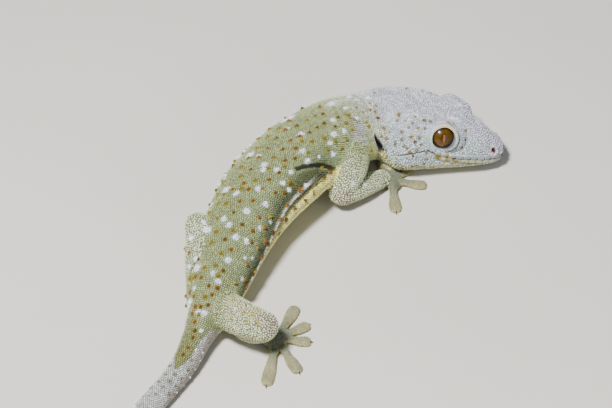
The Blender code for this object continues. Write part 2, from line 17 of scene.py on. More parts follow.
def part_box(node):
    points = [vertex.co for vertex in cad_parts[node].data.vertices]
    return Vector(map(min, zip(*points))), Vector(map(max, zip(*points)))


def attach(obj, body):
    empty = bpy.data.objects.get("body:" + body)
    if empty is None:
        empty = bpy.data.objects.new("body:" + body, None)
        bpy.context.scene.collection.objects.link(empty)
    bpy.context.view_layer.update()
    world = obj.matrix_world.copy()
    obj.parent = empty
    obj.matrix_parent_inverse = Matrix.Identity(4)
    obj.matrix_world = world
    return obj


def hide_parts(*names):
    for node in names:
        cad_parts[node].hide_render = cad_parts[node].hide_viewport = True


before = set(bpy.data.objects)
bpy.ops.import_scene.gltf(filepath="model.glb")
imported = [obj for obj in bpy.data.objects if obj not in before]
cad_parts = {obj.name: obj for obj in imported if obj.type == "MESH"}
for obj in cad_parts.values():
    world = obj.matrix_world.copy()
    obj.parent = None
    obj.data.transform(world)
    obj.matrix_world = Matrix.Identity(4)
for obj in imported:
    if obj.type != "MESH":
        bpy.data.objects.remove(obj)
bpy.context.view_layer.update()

MM = 0.001
UP = np.array([0.0, 0.0, 1.0])

# The head, on an axis that starts at the tip of the snout
HEAD_TIP = np.array([67.0, 19.7, 5.8])
HEAD_YAW = math.radians(-12)
HEAD_PITCH = math.radians(-9)
HEAD_ROLL = math.radians(15)
# Distance behind the tip of the snout, half width, height above the axis, depth below it
HEAD = [
    (0.5, 2.8, 1.8, 2.3),
    (2.0, 4.7, 2.9, 3.7),
    (5.0, 6.8, 4.6, 5.2),
    (10.0, 9.2, 7.1, 7.0),
    (15.0, 11.2, 9.0, 8.4),
    (20.0, 13.0, 10.0, 9.6),
    (26.0, 15.2, 10.4, 11.1),
    (32.0, 17.2, 10.2, 12.6),
    (38.0, 16.8, 9.4, 13.2),
    (44.0, 14.2, 8.2, 13.8),
]
# The body axis from the neck back: x, y, z, half width, rise, depth, lean to the left in degrees
BODY = [
    (19.4, 25.8, 12.8, 12.2, 9.6, 12.4, 15),
    (12.0, 21.0, 14.2, 13.0, 10.8, 10.8, 16),
    (-0.2, 9.9, 14.4, 15.4, 11.6, 11.6, 18),
    (-7.5, 0.9, 14.2, 15.4, 11.6, 11.6, 18),
    (-14.4, -8.8, 13.6, 14.4, 11.5, 11.3, 17),
    (-19.6, -19.0, 12.8, 12.7, 10.9, 10.8, 15),
    (-23.5, -29.0, 12.0, 11.5, 10.2, 10.4, 12),
    (-26.4, -39.6, 11.0, 9.8, 9.4, 10.3, 9),
    (-29.0, -48.6, 10.0, 8.3, 8.6, 10.4, 6),
    (-31.8, -58.0, 8.2, 6.2, 7.0, 8.6, 3),
    (-35.0, -66.6, 6.2, 4.6, 5.2, 6.3, 0),
    (-38.6, -76.0, 4.7, 4.0, 4.3, 4.9, 0),
    (-43.6, -84.8, 4.0, 3.7, 3.9, 4.2, 0),
    (-49.6, -94.4, 3.8, 3.8, 3.8, 4.0, 0),
    (-56.2, -107.0, 3.6, 3.8, 3.7, 3.8, 0),
    (-61.8, -120.5, 3.4, 3.6, 3.4, 3.6, 0),
    (-65.4, -134.5, 3.1, 3.2, 3.1, 3.3, 0),
    (-66.5, -149.0, 2.7, 2.7, 2.6, 2.9, 0),
    (-64.6, -163.0, 2.2, 2.1, 2.1, 2.4, 0),
    (-59.6, -176.0, 1.6, 1.4, 1.4, 1.8, 0),
    (-52.6, -187.0, 1.0, 0.7, 0.7, 1.2, 0),
]
# How far ahead and behind the direction of the axis is read, and how round a section is: 2 is an ellipse
TURN_SPAN = 11.0
ROUNDNESS = 2.25
# The roundness of the cheeks and of the brow, their distance behind the snout and their reach
CHEEK = (2.7, 29.0, 11.0)
BROW = (1.95, 17.0, 6.0)

# The line of the mouth: distance behind the snout and height on the side of the head
MOUTH = np.array([
    (0.5, -0.1), (1.2, -1.0), (7.8, -1.5), (15.4, -1.6), (20.7, -1.0), (25.0, 0.75), (29.4, -1.0),
    (33.6, -2.6)])

# The eyes: their middle behind the snout, aside and up, their radius, and which way they look
EYE_AT = (21.7, 9.2, 4.95)
EYE_RADIUS = 4.4
EYE_FORWARD = math.radians(16)
EYE_UP = {1: math.radians(13), -1: math.radians(-3)}
# The lids: how wide they open, which points go onto the edge, the brow's ball, the rim and the ball below it
LID_OPENING = 3.8
LID_EDGE_REACH = 0.22
BROW_RADII = (6.3, 5.7, 5.3)
BROW_FORWARD = 2.1
BROW_INWARD = 0.6
LID_RADIUS = 4.4
LID_THICKNESS = 0.7
LID_STANDS = 2.3
UNDER_LID = 4.75
# Nostrils and ears: distance behind the snout and angle, then the half size of an ear's slit and its slant
NOSTRIL_AT = (3.3, 60)
EAR_AT = (48.8, 100)
EAR_HALF = (1.0, 5.3)
EAR_SLANT = math.radians(25)
EAR_REACH = 9.0

# Limbs: points down each length with a radius, from the trunk out
LIMBS = {
    "right_upper_arm": [(15.6, 9.6, 15.0, 6.2), (14.2, 3.8, 13.0, 6.2), (11.7, -2.0, 7.6, 4.3)],
    "right_forearm": [(12.2, -2.0, 6.6, 3.9), (18.5, 2.6, 5.6, 4.0), (25.2, 8.2, 3.7, 3.3)],
    "left_upper_arm": [(3.4, 20.0, 12.4, 6.0), (0.2, 26.4, 9.8, 4.9), (-2.8, 31.6, 7.0, 3.9)],
    "left_forearm": [(-2.6, 31.8, 6.2, 3.8), (0.8, 35.0, 5.4, 3.8), (5.0, 38.4, 3.7, 2.8)],
    "right_thigh": [(-27.2, -56.0, 8.8, 6.4), (-20.0, -63.6, 12.0, 5.9), (-13.6, -68.2, 13.6, 5.1)],
    "right_shin": [(-13.8, -68.2, 12.2, 4.4), (-16.8, -65.0, 7.6, 4.0), (-20.2, -61.4, 3.6, 2.9)],
    "left_thigh": [(-32.4, -53.0, 8.4, 6.2), (-34.2, -39.0, 13.0, 5.2), (-35.3, -26.2, 16.4, 4.3)],
    "left_shin": [(-35.8, -25.0, 15.6, 4.1), (-35.2, -19.0, 9.6, 3.9), (-33.2, -13.4, 3.7, 2.8)],
}
# Hands and feet: the wrist or ankle, the middle of the palm, its half width, and the tips of the toes
HANDS = {
    "right_hand": ((25.4, 8.2, 3.2), (28.8, 9.3, 1.9), 4.6, [
        (40.8, 8.1), (36.8, 17.8), (31.6, 20.0), (25.6, 19.6), (30.2, -4.6)]),
    "left_hand": ((4.8, 38.2, 3.2), (9.0, 39.8, 1.9), 3.9, [
        (20.4, 44.0), (17.4, 49.0), (11.0, 50.6), (4.4, 48.2), (17.6, 36.4)]),
    "right_foot": ((-19.4, -61.4, 3.2), (-9.4, -63.0, 2.0), 4.3, [
        (-3.2, -47.6), (1.0, -55.6), (1.6, -63.2), (-2.2, -76.4), (-12.6, -82.0)]),
    "left_foot": ((-33.0, -12.6, 3.2), (-26.0, -1.6, 2.0), 4.3, [
        (-13.4, 2.2), (-14.4, 10.2), (-18.6, 15.6), (-23.4, 15.0), (-27.0, 12.0)]),
}
# The palm's half height, and the wrist's half width and half height
PALM_THICK = 1.9
WRIST = (2.7, 2.2)
# Behind the palm: part of the way from the wrist to the palm's middle, and half width there
BEHIND_PALM = (0.4, 2.5)
# At the palm's back: part of that way, and part of the palm's half width
PALM_BACK = (0.75, 0.85)
# At the palm's front: how far past its middle, and parts of its half width and half height
PALM_FRONT = (2.2, 0.75, 0.8)
# Where a toe starts, as a part of the way from the palm's middle to its tip
TOE_START = 0.14
# Along each toe: part of its length, half width, half height, height of its middle
TOE = np.array([
    (0.00, 1.5, 1.2, 1.7), (0.25, 1.3, 1.0, 1.6), (0.42, 1.55, 0.9, 1.15), (0.62, 2.05, 0.85, 0.8),
    (0.84, 2.15, 0.8, 0.75), (0.96, 1.7, 0.7, 0.7), (1.00, 0.8, 0.4, 0.6)])

# The photo's view: its size in pixels, and the size of a pixel at the target
PHOTO = (612, 408)
PIXEL = 0.336
VIEW_ELEVATION = math.radians(45)
VIEW_DISTANCE = 1000.0
SENSOR = 36.0

# The size of the net that the skin is made of, and how far the skin lies below the tips of its scales
SKIN_VOXEL = 0.42
COAT_DEPTH = 0.22


def srgb(*levels):
    """Linear colour from 0 to 255 levels as a screen shows them."""
    part = np.array(levels) / 255.0
    return np.where(part <= 0.04045, part / 12.92, ((part + 0.055) / 1.055) ** 2.4)


HEAD_TOP = srgb(206, 210, 222)
HEAD_SIDE = srgb(198, 211, 216)
HEAD_LOW = srgb(206, 210, 168)
SNOUT = srgb(190, 190, 206)
NECK = srgb(188, 196, 150)
BACK = srgb(164, 176, 126)
FLANK = srgb(156, 170, 124)
BELLY = srgb(255, 251, 158)
LIMB = srgb(228, 238, 196)
# Limbs where they face down: their own yellower colour, darkened as painted shade
LIMB_LOW_SHADED = srgb(214, 216, 160)
LIMB_ROOT = srgb(186, 197, 138)
HAND = srgb(118, 123, 103)
TOE_TOP = srgb(150, 146, 112)
TOE_EDGE = srgb(172, 166, 104)
TAIL_TOP = srgb(138, 143, 92)
TAIL_PALE = srgb(206, 208, 206)
# Painted shade on the pale tail's right side
TAIL_SHADE = srgb(176, 170, 158)
TAIL_RING = srgb(150, 152, 138)
# Painted shade in the crease of the armpit and along a crease of the neck
CREASE_SHADE = srgb(50, 50, 38)
# Painted shade on the flank above its fold and in the hollow under it
FLANK_SHADE = srgb(64, 72, 48)
SPOT = srgb(234, 246, 255)
FOLD = srgb(255, 255, 246)
RUST = srgb(112, 62, 0)
ORANGE = srgb(160, 102, 0)
OCHRE = srgb(118, 101, 8)
BROWN = srgb(82, 58, 4)
OLIVE = srgb(112, 104, 16)
YELLOW = srgb(220, 206, 60)
CREAM = srgb(236, 232, 186)
PINK = srgb(206, 190, 172)
GREY = srgb(112, 114, 98)
HALO = srgb(150, 138, 20)
MUSTARD = srgb(158, 130, 0)
HEAD_PALE = srgb(236, 240, 246)
MAUVE = srgb(146, 124, 138)
NECK_GREY = srgb(196, 194, 204)
# Painted shade in the ear's pit, and painted light on its far wall
EAR_PIT_SHADE = srgb(38, 26, 34)
EAR_LIT_WALL = srgb(110, 96, 112)
# Painted shade in the nostril's pit
NOSTRIL_SHADE = srgb(84, 30, 44)
# Painted shade in the line between the lips
MOUTH_SHADE = srgb(52, 44, 36)
NOSTRIL_RIM = srgb(190, 184, 184)
UPPER_LIP = srgb(142, 147, 150)
LOWER_LIP = srgb(154, 159, 136)
CLAW = srgb(66, 54, 42)
# Painted shade in the groove about the lid, deepest in front
LID_GROOVE_SHADE = srgb(40, 44, 50)
SLIT = srgb(128, 80, 0)
SLIT_EDGE = srgb(40, 20, 2)
IRIS_INNER = srgb(58, 34, 0)
IRIS_OUTER = srgb(80, 55, 2)
IRIS_RIM = srgb(40, 34, 18)
# Painted shade on the lid's inner edge and on the back of the eyeball
SOCKET_SHADE = srgb(30, 24, 20)
# About the eye, in degrees from straight ahead: the lid's colour
LID_TINTS = [
    (-180, srgb(190, 192, 194)), (-120, srgb(140, 144, 142)), (-60, srgb(110, 112, 110)),
    (0, srgb(178, 186, 196)), (50, srgb(200, 178, 148)), (90, srgb(200, 172, 140)),
    (140, srgb(198, 184, 166)), (180, srgb(190, 192, 194))]


def unit(vectors):
    return vectors / np.linalg.norm(vectors, axis=-1, keepdims=True)


def leaning_frame(forward, lean):
    """Right and up for rings that face forward and lean to the left."""
    level_left = unit(np.cross(UP, forward))
    level_up = np.cross(forward, level_left)
    cos = np.cos(lean)[..., None]
    sin = np.sin(lean)[..., None]
    return -(level_left * cos - level_up * sin), level_up * cos + level_left * sin


def head_frame():
    level = math.cos(HEAD_PITCH)
    forward = np.array([level * math.cos(HEAD_YAW), level * math.sin(HEAD_YAW), math.sin(HEAD_PITCH)])
    right, up = leaning_frame(forward, np.array(HEAD_ROLL))
    return forward, right, up


HEAD_FORWARD, HEAD_RIGHT, HEAD_UP = head_frame()


def head_point(back, right, up):
    return HEAD_TIP - HEAD_FORWARD * back + HEAD_RIGHT * right + HEAD_UP * up


def head_parts(points):
    """Back, right and up of points in the head's frame."""
    away = points - HEAD_TIP
    return -away @ HEAD_FORWARD, away @ HEAD_RIGHT, away @ HEAD_UP


def spline(knots, values, at):
    """A smooth curve through the values at the knots, read at many places."""
    at = np.asarray(at, dtype=float)
    i = np.clip(np.searchsorted(knots, at) - 1, 0, len(knots) - 2)
    low = np.maximum(np.arange(len(knots)) - 1, 0)
    high = np.minimum(np.arange(len(knots)) + 1, len(knots) - 1)
    slopes = (values[high] - values[low]) / (knots[high] - knots[low])[:, None]
    step = (knots[i + 1] - knots[i])[..., None]
    t = ((at - knots[i]) / step[..., 0])[..., None]
    start = values[i] * (2 * t**3 - 3 * t**2 + 1) + slopes[i] * step * (t**3 - 2 * t**2 + t)
    return start + values[i + 1] * (3 * t**2 - 2 * t**3) + slopes[i + 1] * step * (t**3 - t**2)


class Trunk:
    """The body from snout to tail as cross-sections at even steps along it."""

    STEP = 0.5

    def __init__(self):
        places = [head_point(row[0], 0.0, 0.0) for row in HEAD] + [np.array(row[:3]) for row in BODY]
        shapes = [(*row[1:], math.degrees(HEAD_ROLL)) for row in HEAD] + [row[3:] for row in BODY]
        places = np.array(places)
        shapes = np.array(shapes, dtype=float)
        steps = np.linalg.norm(np.diff(places, axis=0), axis=1)
        knots = HEAD[0][0] + np.concatenate([[0.0], np.cumsum(steps)])
        self.start = knots[0]
        self.end = knots[-1]
        self.along = np.append(np.arange(self.start, self.end, self.STEP), self.end)
        self.centre = spline(knots, places, self.along)
        ahead = spline(knots, places, np.maximum(self.along - TURN_SPAN, self.start))
        behind = spline(knots, places, np.minimum(self.along + TURN_SPAN, self.end))
        self.forward = unit(ahead - behind)
        self.shape = spline(knots, shapes, self.along)
        self.right, self.up = leaning_frame(self.forward, np.radians(self.shape[:, 3]))

    def read(self, table, along):
        """A table's values at places along the body."""
        if table.ndim == 1:
            return np.interp(along, self.along, table)
        return np.stack([np.interp(along, self.along, column) for column in table.T], axis=-1)

    def section(self, along, angle, out=0.0):
        """Right and up of the skin in its ring."""
        half_width, rise, depth = (self.read(self.shape[:, k], along) for k in range(3))
        across = np.sin(np.radians(angle))
        upward = np.cos(np.radians(angle))
        power = 2 / roundness(along, upward > 0)
        right = np.sign(across) * np.abs(across) ** power * (half_width + out)
        up = np.sign(upward) * np.abs(upward) ** power * (np.where(upward > 0, rise, depth) + out)
        return right, up

    def point(self, along, angle, out=0.0):
        right, up = self.section(along, angle, out)
        return (self.read(self.centre, along) + self.read(self.right, along) * right[..., None]
                + self.read(self.up, along) * up[..., None])

    def locate(self, points, near):
        """Along and angle of points on the skin, from the place of a near station."""
        away = points - self.read(self.centre, near)
        along = np.clip(near - np.sum(away * self.read(self.forward, near), axis=1), self.start, self.end)
        away = points - self.read(self.centre, along)
        half_width, rise, depth = (self.read(self.shape[:, k], along) for k in range(3))
        right = np.sum(away * self.read(self.right, along), axis=1) / half_width
        up = np.sum(away * self.read(self.up, along), axis=1)
        up = up / np.where(up > 0, rise, depth)
        power = roundness(along, up > 0) / 2
        angle = np.degrees(np.arctan2(
            np.sign(right) * np.abs(right) ** power, np.sign(up) * np.abs(up) ** power))
        return along, angle


def bump(value, middle, span):
    """1 at the middle, falling off smoothly on both sides."""
    return np.exp(-(((value - middle) / span) ** 2))


def roundness(along, above):
    """The cheeks are squarer than the rest of the body, and the face slopes in above the mouth."""
    cheek, cheek_at, cheek_span = CHEEK
    brow, brow_at, brow_span = BROW
    power = ROUNDNESS + (cheek - ROUNDNESS) * bump(along, cheek_at, cheek_span)
    return np.where(above, power + (brow - power) * bump(along, brow_at, brow_span), power)


TRUNK = Trunk()


def smooth(low, high, value):
    """0 below low, 1 above high, and a smooth step between them."""
    part = np.clip((value - low) / (high - low), 0.0, 1.0)
    return part * part * (3 - 2 * part)


def mix(a, b, part):
    part = np.asarray(part)[..., None]
    return a * (1 - part) + b * part


def between(ends, value):
    """0 before the first of four ends, 1 from the second to the third, and 0 after the last."""
    return smooth(*ends[:2], value) * (1 - smooth(*ends[2:], value))


class Cells:
    """Smooth seeded noise over space, from sines in turned directions."""

    def __init__(self, seed, size, waves=9):
        draw = np.random.default_rng(seed)
        self.turns = unit(draw.normal(size=(waves, 3))) * draw.uniform(0.6, 1.5, (waves, 1)) * math.tau / size
        self.starts = draw.uniform(0, math.tau, waves)

    def __call__(self, points):
        return np.mean(np.sin(points @ self.turns.T + self.starts), axis=1) * math.sqrt(2)


def tree_over(points, rows):
    """A tree that finds the nearest of some rows of points."""
    tree = KDTree(len(rows))
    for i in rows:
        tree.insert(points[i], i)
    tree.balance()
    return tree


# Meshes


def shift_to_frame():
    """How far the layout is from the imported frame, read from where the right eye is."""
    low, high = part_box("eye_right")
    return (np.array(low) + np.array(high)) / 2 / MM - head_point(*EYE_AT)


SHIFT = shift_to_frame()


def read_values(items, name, width=1, kind=np.float32):
    """One property of all the items of a mesh, in rows of a width."""
    values = np.empty(len(items) * width, dtype=kind)
    items.foreach_get(name, values)
    return values.reshape(-1, width) if width > 1 else values


def read_points(data):
    return read_values(data.vertices, "co", 3).astype(float) / MM - SHIFT


def read_normals(data):
    return read_values(data.vertices, "normal", 3).astype(float)


def write_points(data, points):
    data.vertices.foreach_set("co", ((np.asarray(points) + SHIFT) * MM).astype(np.float32).ravel())


def mesh_piece(name, points, faces):
    """A mesh object from points in millimetres and faces of one size."""
    data = bpy.data.meshes.new(name)
    faces = np.asarray(faces, dtype=np.int32)
    data.vertices.add(len(points))
    write_points(data, points)
    data.loops.add(faces.size)
    data.loops.foreach_set("vertex_index", faces.ravel())
    data.polygons.add(len(faces))
    data.polygons.foreach_set("loop_start", np.arange(0, faces.size, faces.shape[1], dtype=np.int32))
    data.update(calc_edges=True)
    data.polygons.foreach_set("use_smooth", np.full(len(faces), True))
    made = bpy.data.objects.new(name, data)
    bpy.context.scene.collection.objects.link(made)
    return made


def paint(piece, colours):
    """The piece's own colours, point by point."""
    layers = piece.data.color_attributes
    layer = layers.get("Tint") or layers.new("Tint", "FLOAT_COLOR", "POINT")
    full = np.ones((len(colours), 4), dtype=np.float32)
    full[:, :3] = colours
    layer.data.foreach_set("color", full.ravel())


def read_tints(piece):
    return read_values(piece.data.color_attributes["Tint"].data, "color", 4)[:, :3].astype(float)


def loft_arrays(rings, closed=False):
    """Points and triangles through rings of equal count, with their ends filled or joined."""
    rings = np.asarray(rings)
    count, sides, _ = rings.shape
    points = rings.reshape(-1, 3)
    last = count if closed else count - 1
    i, j = np.meshgrid(np.arange(last), np.arange(sides), indexing="ij")
    a = i * sides + j
    b = i * sides + (j + 1) % sides
    c = ((i + 1) % count) * sides + (j + 1) % sides
    d = ((i + 1) % count) * sides + j
    triangles = np.concatenate([
        np.stack([a, b, c], axis=-1).reshape(-1, 3), np.stack([a, c, d], axis=-1).reshape(-1, 3)])
    if not closed:
        ends = [rings[0].mean(axis=0), rings[-1].mean(axis=0)]
        j = np.arange(sides)
        k = (j + 1) % sides
        first = len(points)
        top = (count - 1) * sides
        triangles = np.concatenate([
            triangles,
            np.stack([k, j, np.full(sides, first)], axis=-1),
            np.stack([top + j, top + k, np.full(sides, first + 1)], axis=-1)])
        points = np.concatenate([points, ends])
    volume = np.sum(np.einsum("ij,ij->i", points[triangles[:, 0]],
                              np.cross(points[triangles[:, 1]], points[triangles[:, 2]])))
    return points, triangles if volume > 0 else triangles[:, ::-1]


def joined(parts):
    """Several sets of points and triangles as one."""
    points = np.concatenate([part[0] for part in parts])
    starts = np.cumsum([0] + [len(part[0]) for part in parts[:-1]])
    triangles = np.concatenate([part[1] + start for part, start in zip(parts, starts)])
    return points, triangles


def around(sides):
    """The turns of places spaced evenly on a circle."""
    return np.linspace(0, math.tau, sides, endpoint=False)


def spokes(first, second, turn):
    """Arms that turn from one axis towards another."""
    return first * np.cos(turn)[..., None] + second * np.sin(turn)[..., None]


def on_floor(point):
    return np.array([point[0], point[1], 0.0])


def limb_path(points, steps):
    table = np.array(points)
    return spline(np.arange(len(table), dtype=float), table, np.linspace(0, len(table) - 1, steps + 1))


# Where the rings that close a limb's end lie on its dome, in degrees
DOME = (15, 32, 50, 68, 82)


def limb_loft(points, steps=18, sides=28, out=0.0):
    """Rings down a limb with a dome at each end."""
    path = limb_path(points, steps)
    centres = path[:, :3]
    direction = unit(np.gradient(centres, axis=0))
    domes = np.radians(DOME)
    order = [(0, -a) for a in domes[::-1]] + [(k, 0.0) for k in range(steps + 1)]
    order += [(steps, a) for a in domes]
    rings = []
    for k, dome in order:
        aside = unit(np.cross(direction[k], UP))
        across = np.cross(direction[k], aside)
        radius = path[k, 3] + out
        centre = centres[k] + direction[k] * radius * math.sin(dome)
        rings.append(centre + spokes(aside, across, around(sides)) * radius * math.cos(dome))
    return loft_arrays(rings)


def flat_loft(points, half_widths, half_heights, sides):
    """Rings along a level path, flatter than they are wide."""
    points = np.asarray(points)
    direction = unit(np.gradient(points, axis=0))
    rings = []
    for point, ahead, half_width, half_height in zip(points, direction, half_widths, half_heights):
        aside = unit(np.cross(ahead, UP))
        rings.append(point + spokes(aside * half_width, UP * half_height, around(sides)))
    return loft_arrays(rings)


PALM_RINGS = 17
PALM_SIDES = 28
TOE_RINGS = 25
TOE_SIDES = 20


def palm_loft(wrist, palm, half_width):
    """A flat palm that widens from the wrist to the roots of the toes."""
    start = np.array(wrist)
    end = np.array(palm)
    part = np.array([0.0, BEHIND_PALM[0], PALM_BACK[0], 1.0])
    points = start + (end - start) * part[:, None]
    points = np.vstack([points, end + unit(end - start) * PALM_FRONT[0]])
    widths = [WRIST[0], BEHIND_PALM[1], half_width * PALM_BACK[1], half_width, half_width * PALM_FRONT[1]]
    heights = [WRIST[1], PALM_THICK, PALM_THICK, PALM_THICK, PALM_THICK * PALM_FRONT[2]]
    knots = np.arange(len(points), dtype=float)
    fine = spline(knots, np.column_stack([points, widths, heights]), np.linspace(0, knots[-1], PALM_RINGS))
    return flat_loft(fine[:, :3], fine[:, 3], fine[:, 4], PALM_SIDES)


def toe_loft(palm, tip, sides=TOE_SIDES):
    """One toe along the floor, from under the palm to its tip."""
    end = on_floor(tip)
    start = on_floor(palm) + (end - on_floor(palm)) * TOE_START
    at = np.linspace(0, 1, TOE_RINGS)
    half_widths, half_heights, heights = spline(TOE[:, 0], TOE[:, 1:], at).T
    points = start + (end - start) * at[:, None] + UP * heights[:, None]
    return flat_loft(points, half_widths, half_heights, sides)


def ball(centre, axes, radii, sides=32, rings=20):
    """An ellipsoid of three radii along the three given axes."""
    x_arm, y_arm, z_arm = (axis * radius for axis, radius in zip(axes, radii))
    loops = []
    for tilt in np.linspace(-math.pi / 2, math.pi / 2, rings + 2)[1:-1]:
        flat = spokes(x_arm * math.cos(tilt), y_arm * math.cos(tilt), around(sides))
        loops.append(centre + flat + z_arm * math.sin(tilt))
    points, triangles = loft_arrays(loops)
    points[-2:] = centre - z_arm, centre + z_arm
    return points, triangles


def eye_axes(side):
    """Where the eye looks, then forward and up across it, for side 1 on the right and -1 on the left."""
    out = HEAD_RIGHT * side * math.cos(EYE_FORWARD) + HEAD_FORWARD * math.sin(EYE_FORWARD)
    look = unit(out * math.cos(EYE_UP[side]) + HEAD_UP * math.sin(EYE_UP[side]))
    upward = unit(HEAD_UP - look * np.dot(HEAD_UP, look))
    return look, unit(HEAD_FORWARD - look * np.dot(HEAD_FORWARD, look)), upward


def eye_centre(side):
    return head_point(EYE_AT[0], EYE_AT[1] * side, EYE_AT[2])


def lid_ring(side, turns=64, sides=14):
    """The lid's round rim about the eye's line of sight."""
    look, ahead, upward = eye_axes(side)
    middle = eye_centre(side) + look * LID_STANDS
    roll = around(sides)
    rings = []
    for turn in around(turns):
        spoke = ahead * math.cos(turn) + upward * math.sin(turn)
        rings.append(middle + spoke * (LID_RADIUS + LID_THICKNESS * np.cos(roll))[:, None]
                     + look * (LID_THICKNESS * np.sin(roll))[:, None])
    return loft_arrays(rings, closed=True)


# The skin

# The rings of the trunk: the first few along it, then the step from one to the next, and the points of each
SNOUT_RINGS = (0.5, 0.9, 1.4, 2.0)
RING_STEP = 0.8
RING_SIDES = 96


def trunk_loft():
    angles = np.linspace(0, 360, RING_SIDES, endpoint=False)
    evenly_on = np.arange(SNOUT_RINGS[-1] + RING_STEP, TRUNK.end, RING_STEP)
    places = np.concatenate([SNOUT_RINGS, evenly_on, [TRUNK.end]])
    return loft_arrays([TRUNK.point(np.full(RING_SIDES, along), angles, -COAT_DEPTH) for along in places])


def skin_parts():
    """Every closed form that the skin runs over, as one set of points and triangles."""
    parts = [trunk_loft()]
    axes = (HEAD_FORWARD, HEAD_RIGHT, HEAD_UP)
    for side in (1, -1):
        brow = eye_centre(side) + HEAD_FORWARD * BROW_FORWARD - HEAD_RIGHT * side * BROW_INWARD
        parts.append(ball(brow, axes, [radius - COAT_DEPTH for radius in BROW_RADII]))
        parts.append(lid_ring(side))
        parts.append(ball(eye_centre(side), axes, [UNDER_LID] * 3))
    parts += [limb_loft(points, out=-COAT_DEPTH) for points in LIMBS.values()]
    for wrist, palm, half_width, tips in HANDS.values():
        parts.append(palm_loft(wrist, palm, half_width))
        parts += [toe_loft(palm, tip) for tip in tips]
    return joined(parts)


def changed_mesh(piece):
    """The piece's mesh with its modifiers applied."""
    evaluated = piece.evaluated_get(bpy.context.evaluated_depsgraph_get())
    data = bpy.data.meshes.new_from_object(evaluated)
    piece.modifiers.clear()
    piece.data = data


EVEN_PART = 0.5
EVEN_ROUNDS = 6
# The head has a finer net: where it ends behind the snout, and the least x and y of its points
FINE_BACK = 55.0
FINE_FROM = (12.0, 9.0)
FINE_BULGE = 0.4


def make_skin():
    """One closed skin over all the parts, with a finer net on the head."""
    skin = mesh_piece("skin", *skin_parts())
    fuse = skin.modifiers.new("fuse", "REMESH")
    fuse.mode = "VOXEL"
    fuse.voxel_size = SKIN_VOXEL * MM
    even = skin.modifiers.new("even", "SMOOTH")
    even.factor = EVEN_PART
    even.iterations = EVEN_ROUNDS
    changed_mesh(skin)
    net = bmesh.new()
    net.from_mesh(skin.data)
    points = read_points(skin.data)
    on_head = (head_parts(points)[0] < FINE_BACK) & (points[:, :2] > FINE_FROM).all(axis=1)
    net.verts.ensure_lookup_table()
    edges = [edge for edge in net.edges if on_head[edge.verts[0].index] and on_head[edge.verts[1].index]]
    bmesh.ops.subdivide_edges(net, edges=edges, cuts=1, use_grid_fill=True, smooth=FINE_BULGE)
    bmesh.ops.triangulate(net, faces=[face for face in net.faces if len(face.verts) > 4])
    net.to_mesh(skin.data)
    net.free()
    skin.data.update()
    return skin


LIMB_KINDS = ("upper_limb", "lower_limb")
HAND_KINDS = ("palm", "toe")


class Places:
    """What part of the body each point of the skin belongs to, and where on it."""

    KINDS = ("trunk", *LIMB_KINDS, *HAND_KINDS)
    TRUNK_STEPS = (0.8, 5.0)
    LIMB_STEPS = 16
    LIMB_SIDES = 20
    TOE_SIDES = 12

    def __init__(self):
        self.table = []
        along, angle = np.meshgrid(
            np.arange(TRUNK.start, TRUNK.end, self.TRUNK_STEPS[0]), np.arange(0, 360, self.TRUNK_STEPS[1]))
        along = along.ravel()
        self.add("trunk", TRUNK.point(along, angle.ravel()), along, 0)
        for number, (name, points) in enumerate(LIMBS.items()):
            kind = "upper_limb" if name.endswith(("upper_arm", "thigh")) else "lower_limb"
            surface, _ = limb_loft(points, self.LIMB_STEPS, self.LIMB_SIDES)
            rows = np.clip(np.arange(len(surface)) // self.LIMB_SIDES - len(DOME), 0, self.LIMB_STEPS)
            rows[-2] = 0
            self.add(kind, surface, rows / self.LIMB_STEPS, number)
        for number, (wrist, palm, half_width, tips) in enumerate(HANDS.values()):
            surface, _ = palm_loft(wrist, palm, half_width)
            self.add("palm", surface, 0.0, number)
            for k, tip in enumerate(tips):
                surface, _ = toe_loft(palm, tip, self.TOE_SIDES)
                rows = np.minimum(np.arange(len(surface)) // self.TOE_SIDES, TOE_RINGS - 1)
                self.add("toe", surface, rows / (TOE_RINGS - 1), number * len(tips) + k)
        columns = [np.concatenate(column) for column in zip(*self.table)]
        self.points, self.kind, self.value, self.part = columns
        self.tree = tree_over(self.points, range(len(self.points)))

    def add(self, kind, points, value, part):
        count = len(points)
        row = (points, np.full(count, self.KINDS.index(kind)), np.zeros(count) + value, np.full(count, part))
        self.table.append(row)

    def gap_to(self, points, kind):
        """How far each point is from the places of one kind."""
        tree = tree_over(self.points, np.flatnonzero(self.kind == self.KINDS.index(kind)))
        return np.array([tree.find(point)[2] for point in points])

    def find(self, points):
        near = np.array([self.tree.find(point)[1] for point in points])
        return Spots(points, self.kind[near], self.value[near], self.part[near])


# Where along the trunk points of the limbs and hands are placed from
LIMB_ALONG = 80.0


class Spots:
    """Points on the skin with their part, and their along and angle where they are on the trunk."""

    def __init__(self, points, kind, value, part):
        self.points = points
        self.kind = kind
        self.value = value
        self.part = part
        self.along, self.angle = TRUNK.locate(points, np.where(kind == 0, value, LIMB_ALONG))
        self.back, self.right, self.up = head_parts(points)

    def on(self, *names):
        return np.isin(self.kind, [Places.KINDS.index(name) for name in names])


PLACES = Places()


def mouth_height(back):
    return np.interp(back, MOUTH[:, 0], MOUTH[:, 1])


# Where the line of the mouth fades, before and behind its corner
MOUTH_FADE = (1.5, 2.5)


def mouth_fade(back):
    return 1 - smooth(MOUTH[-1, 0] - MOUTH_FADE[0], MOUTH[-1, 0] + MOUTH_FADE[1], back)


def eye_parts(points, side):
    """Distance from the eye's line of sight, height along it, and turn about it from straight ahead."""
    look, ahead, upward = eye_axes(side)
    away = points - eye_centre(side)
    forward = away @ ahead
    up = away @ upward
    return np.hypot(forward, up), away @ look, np.arctan2(up, forward)


FAR_OFF = 99.0


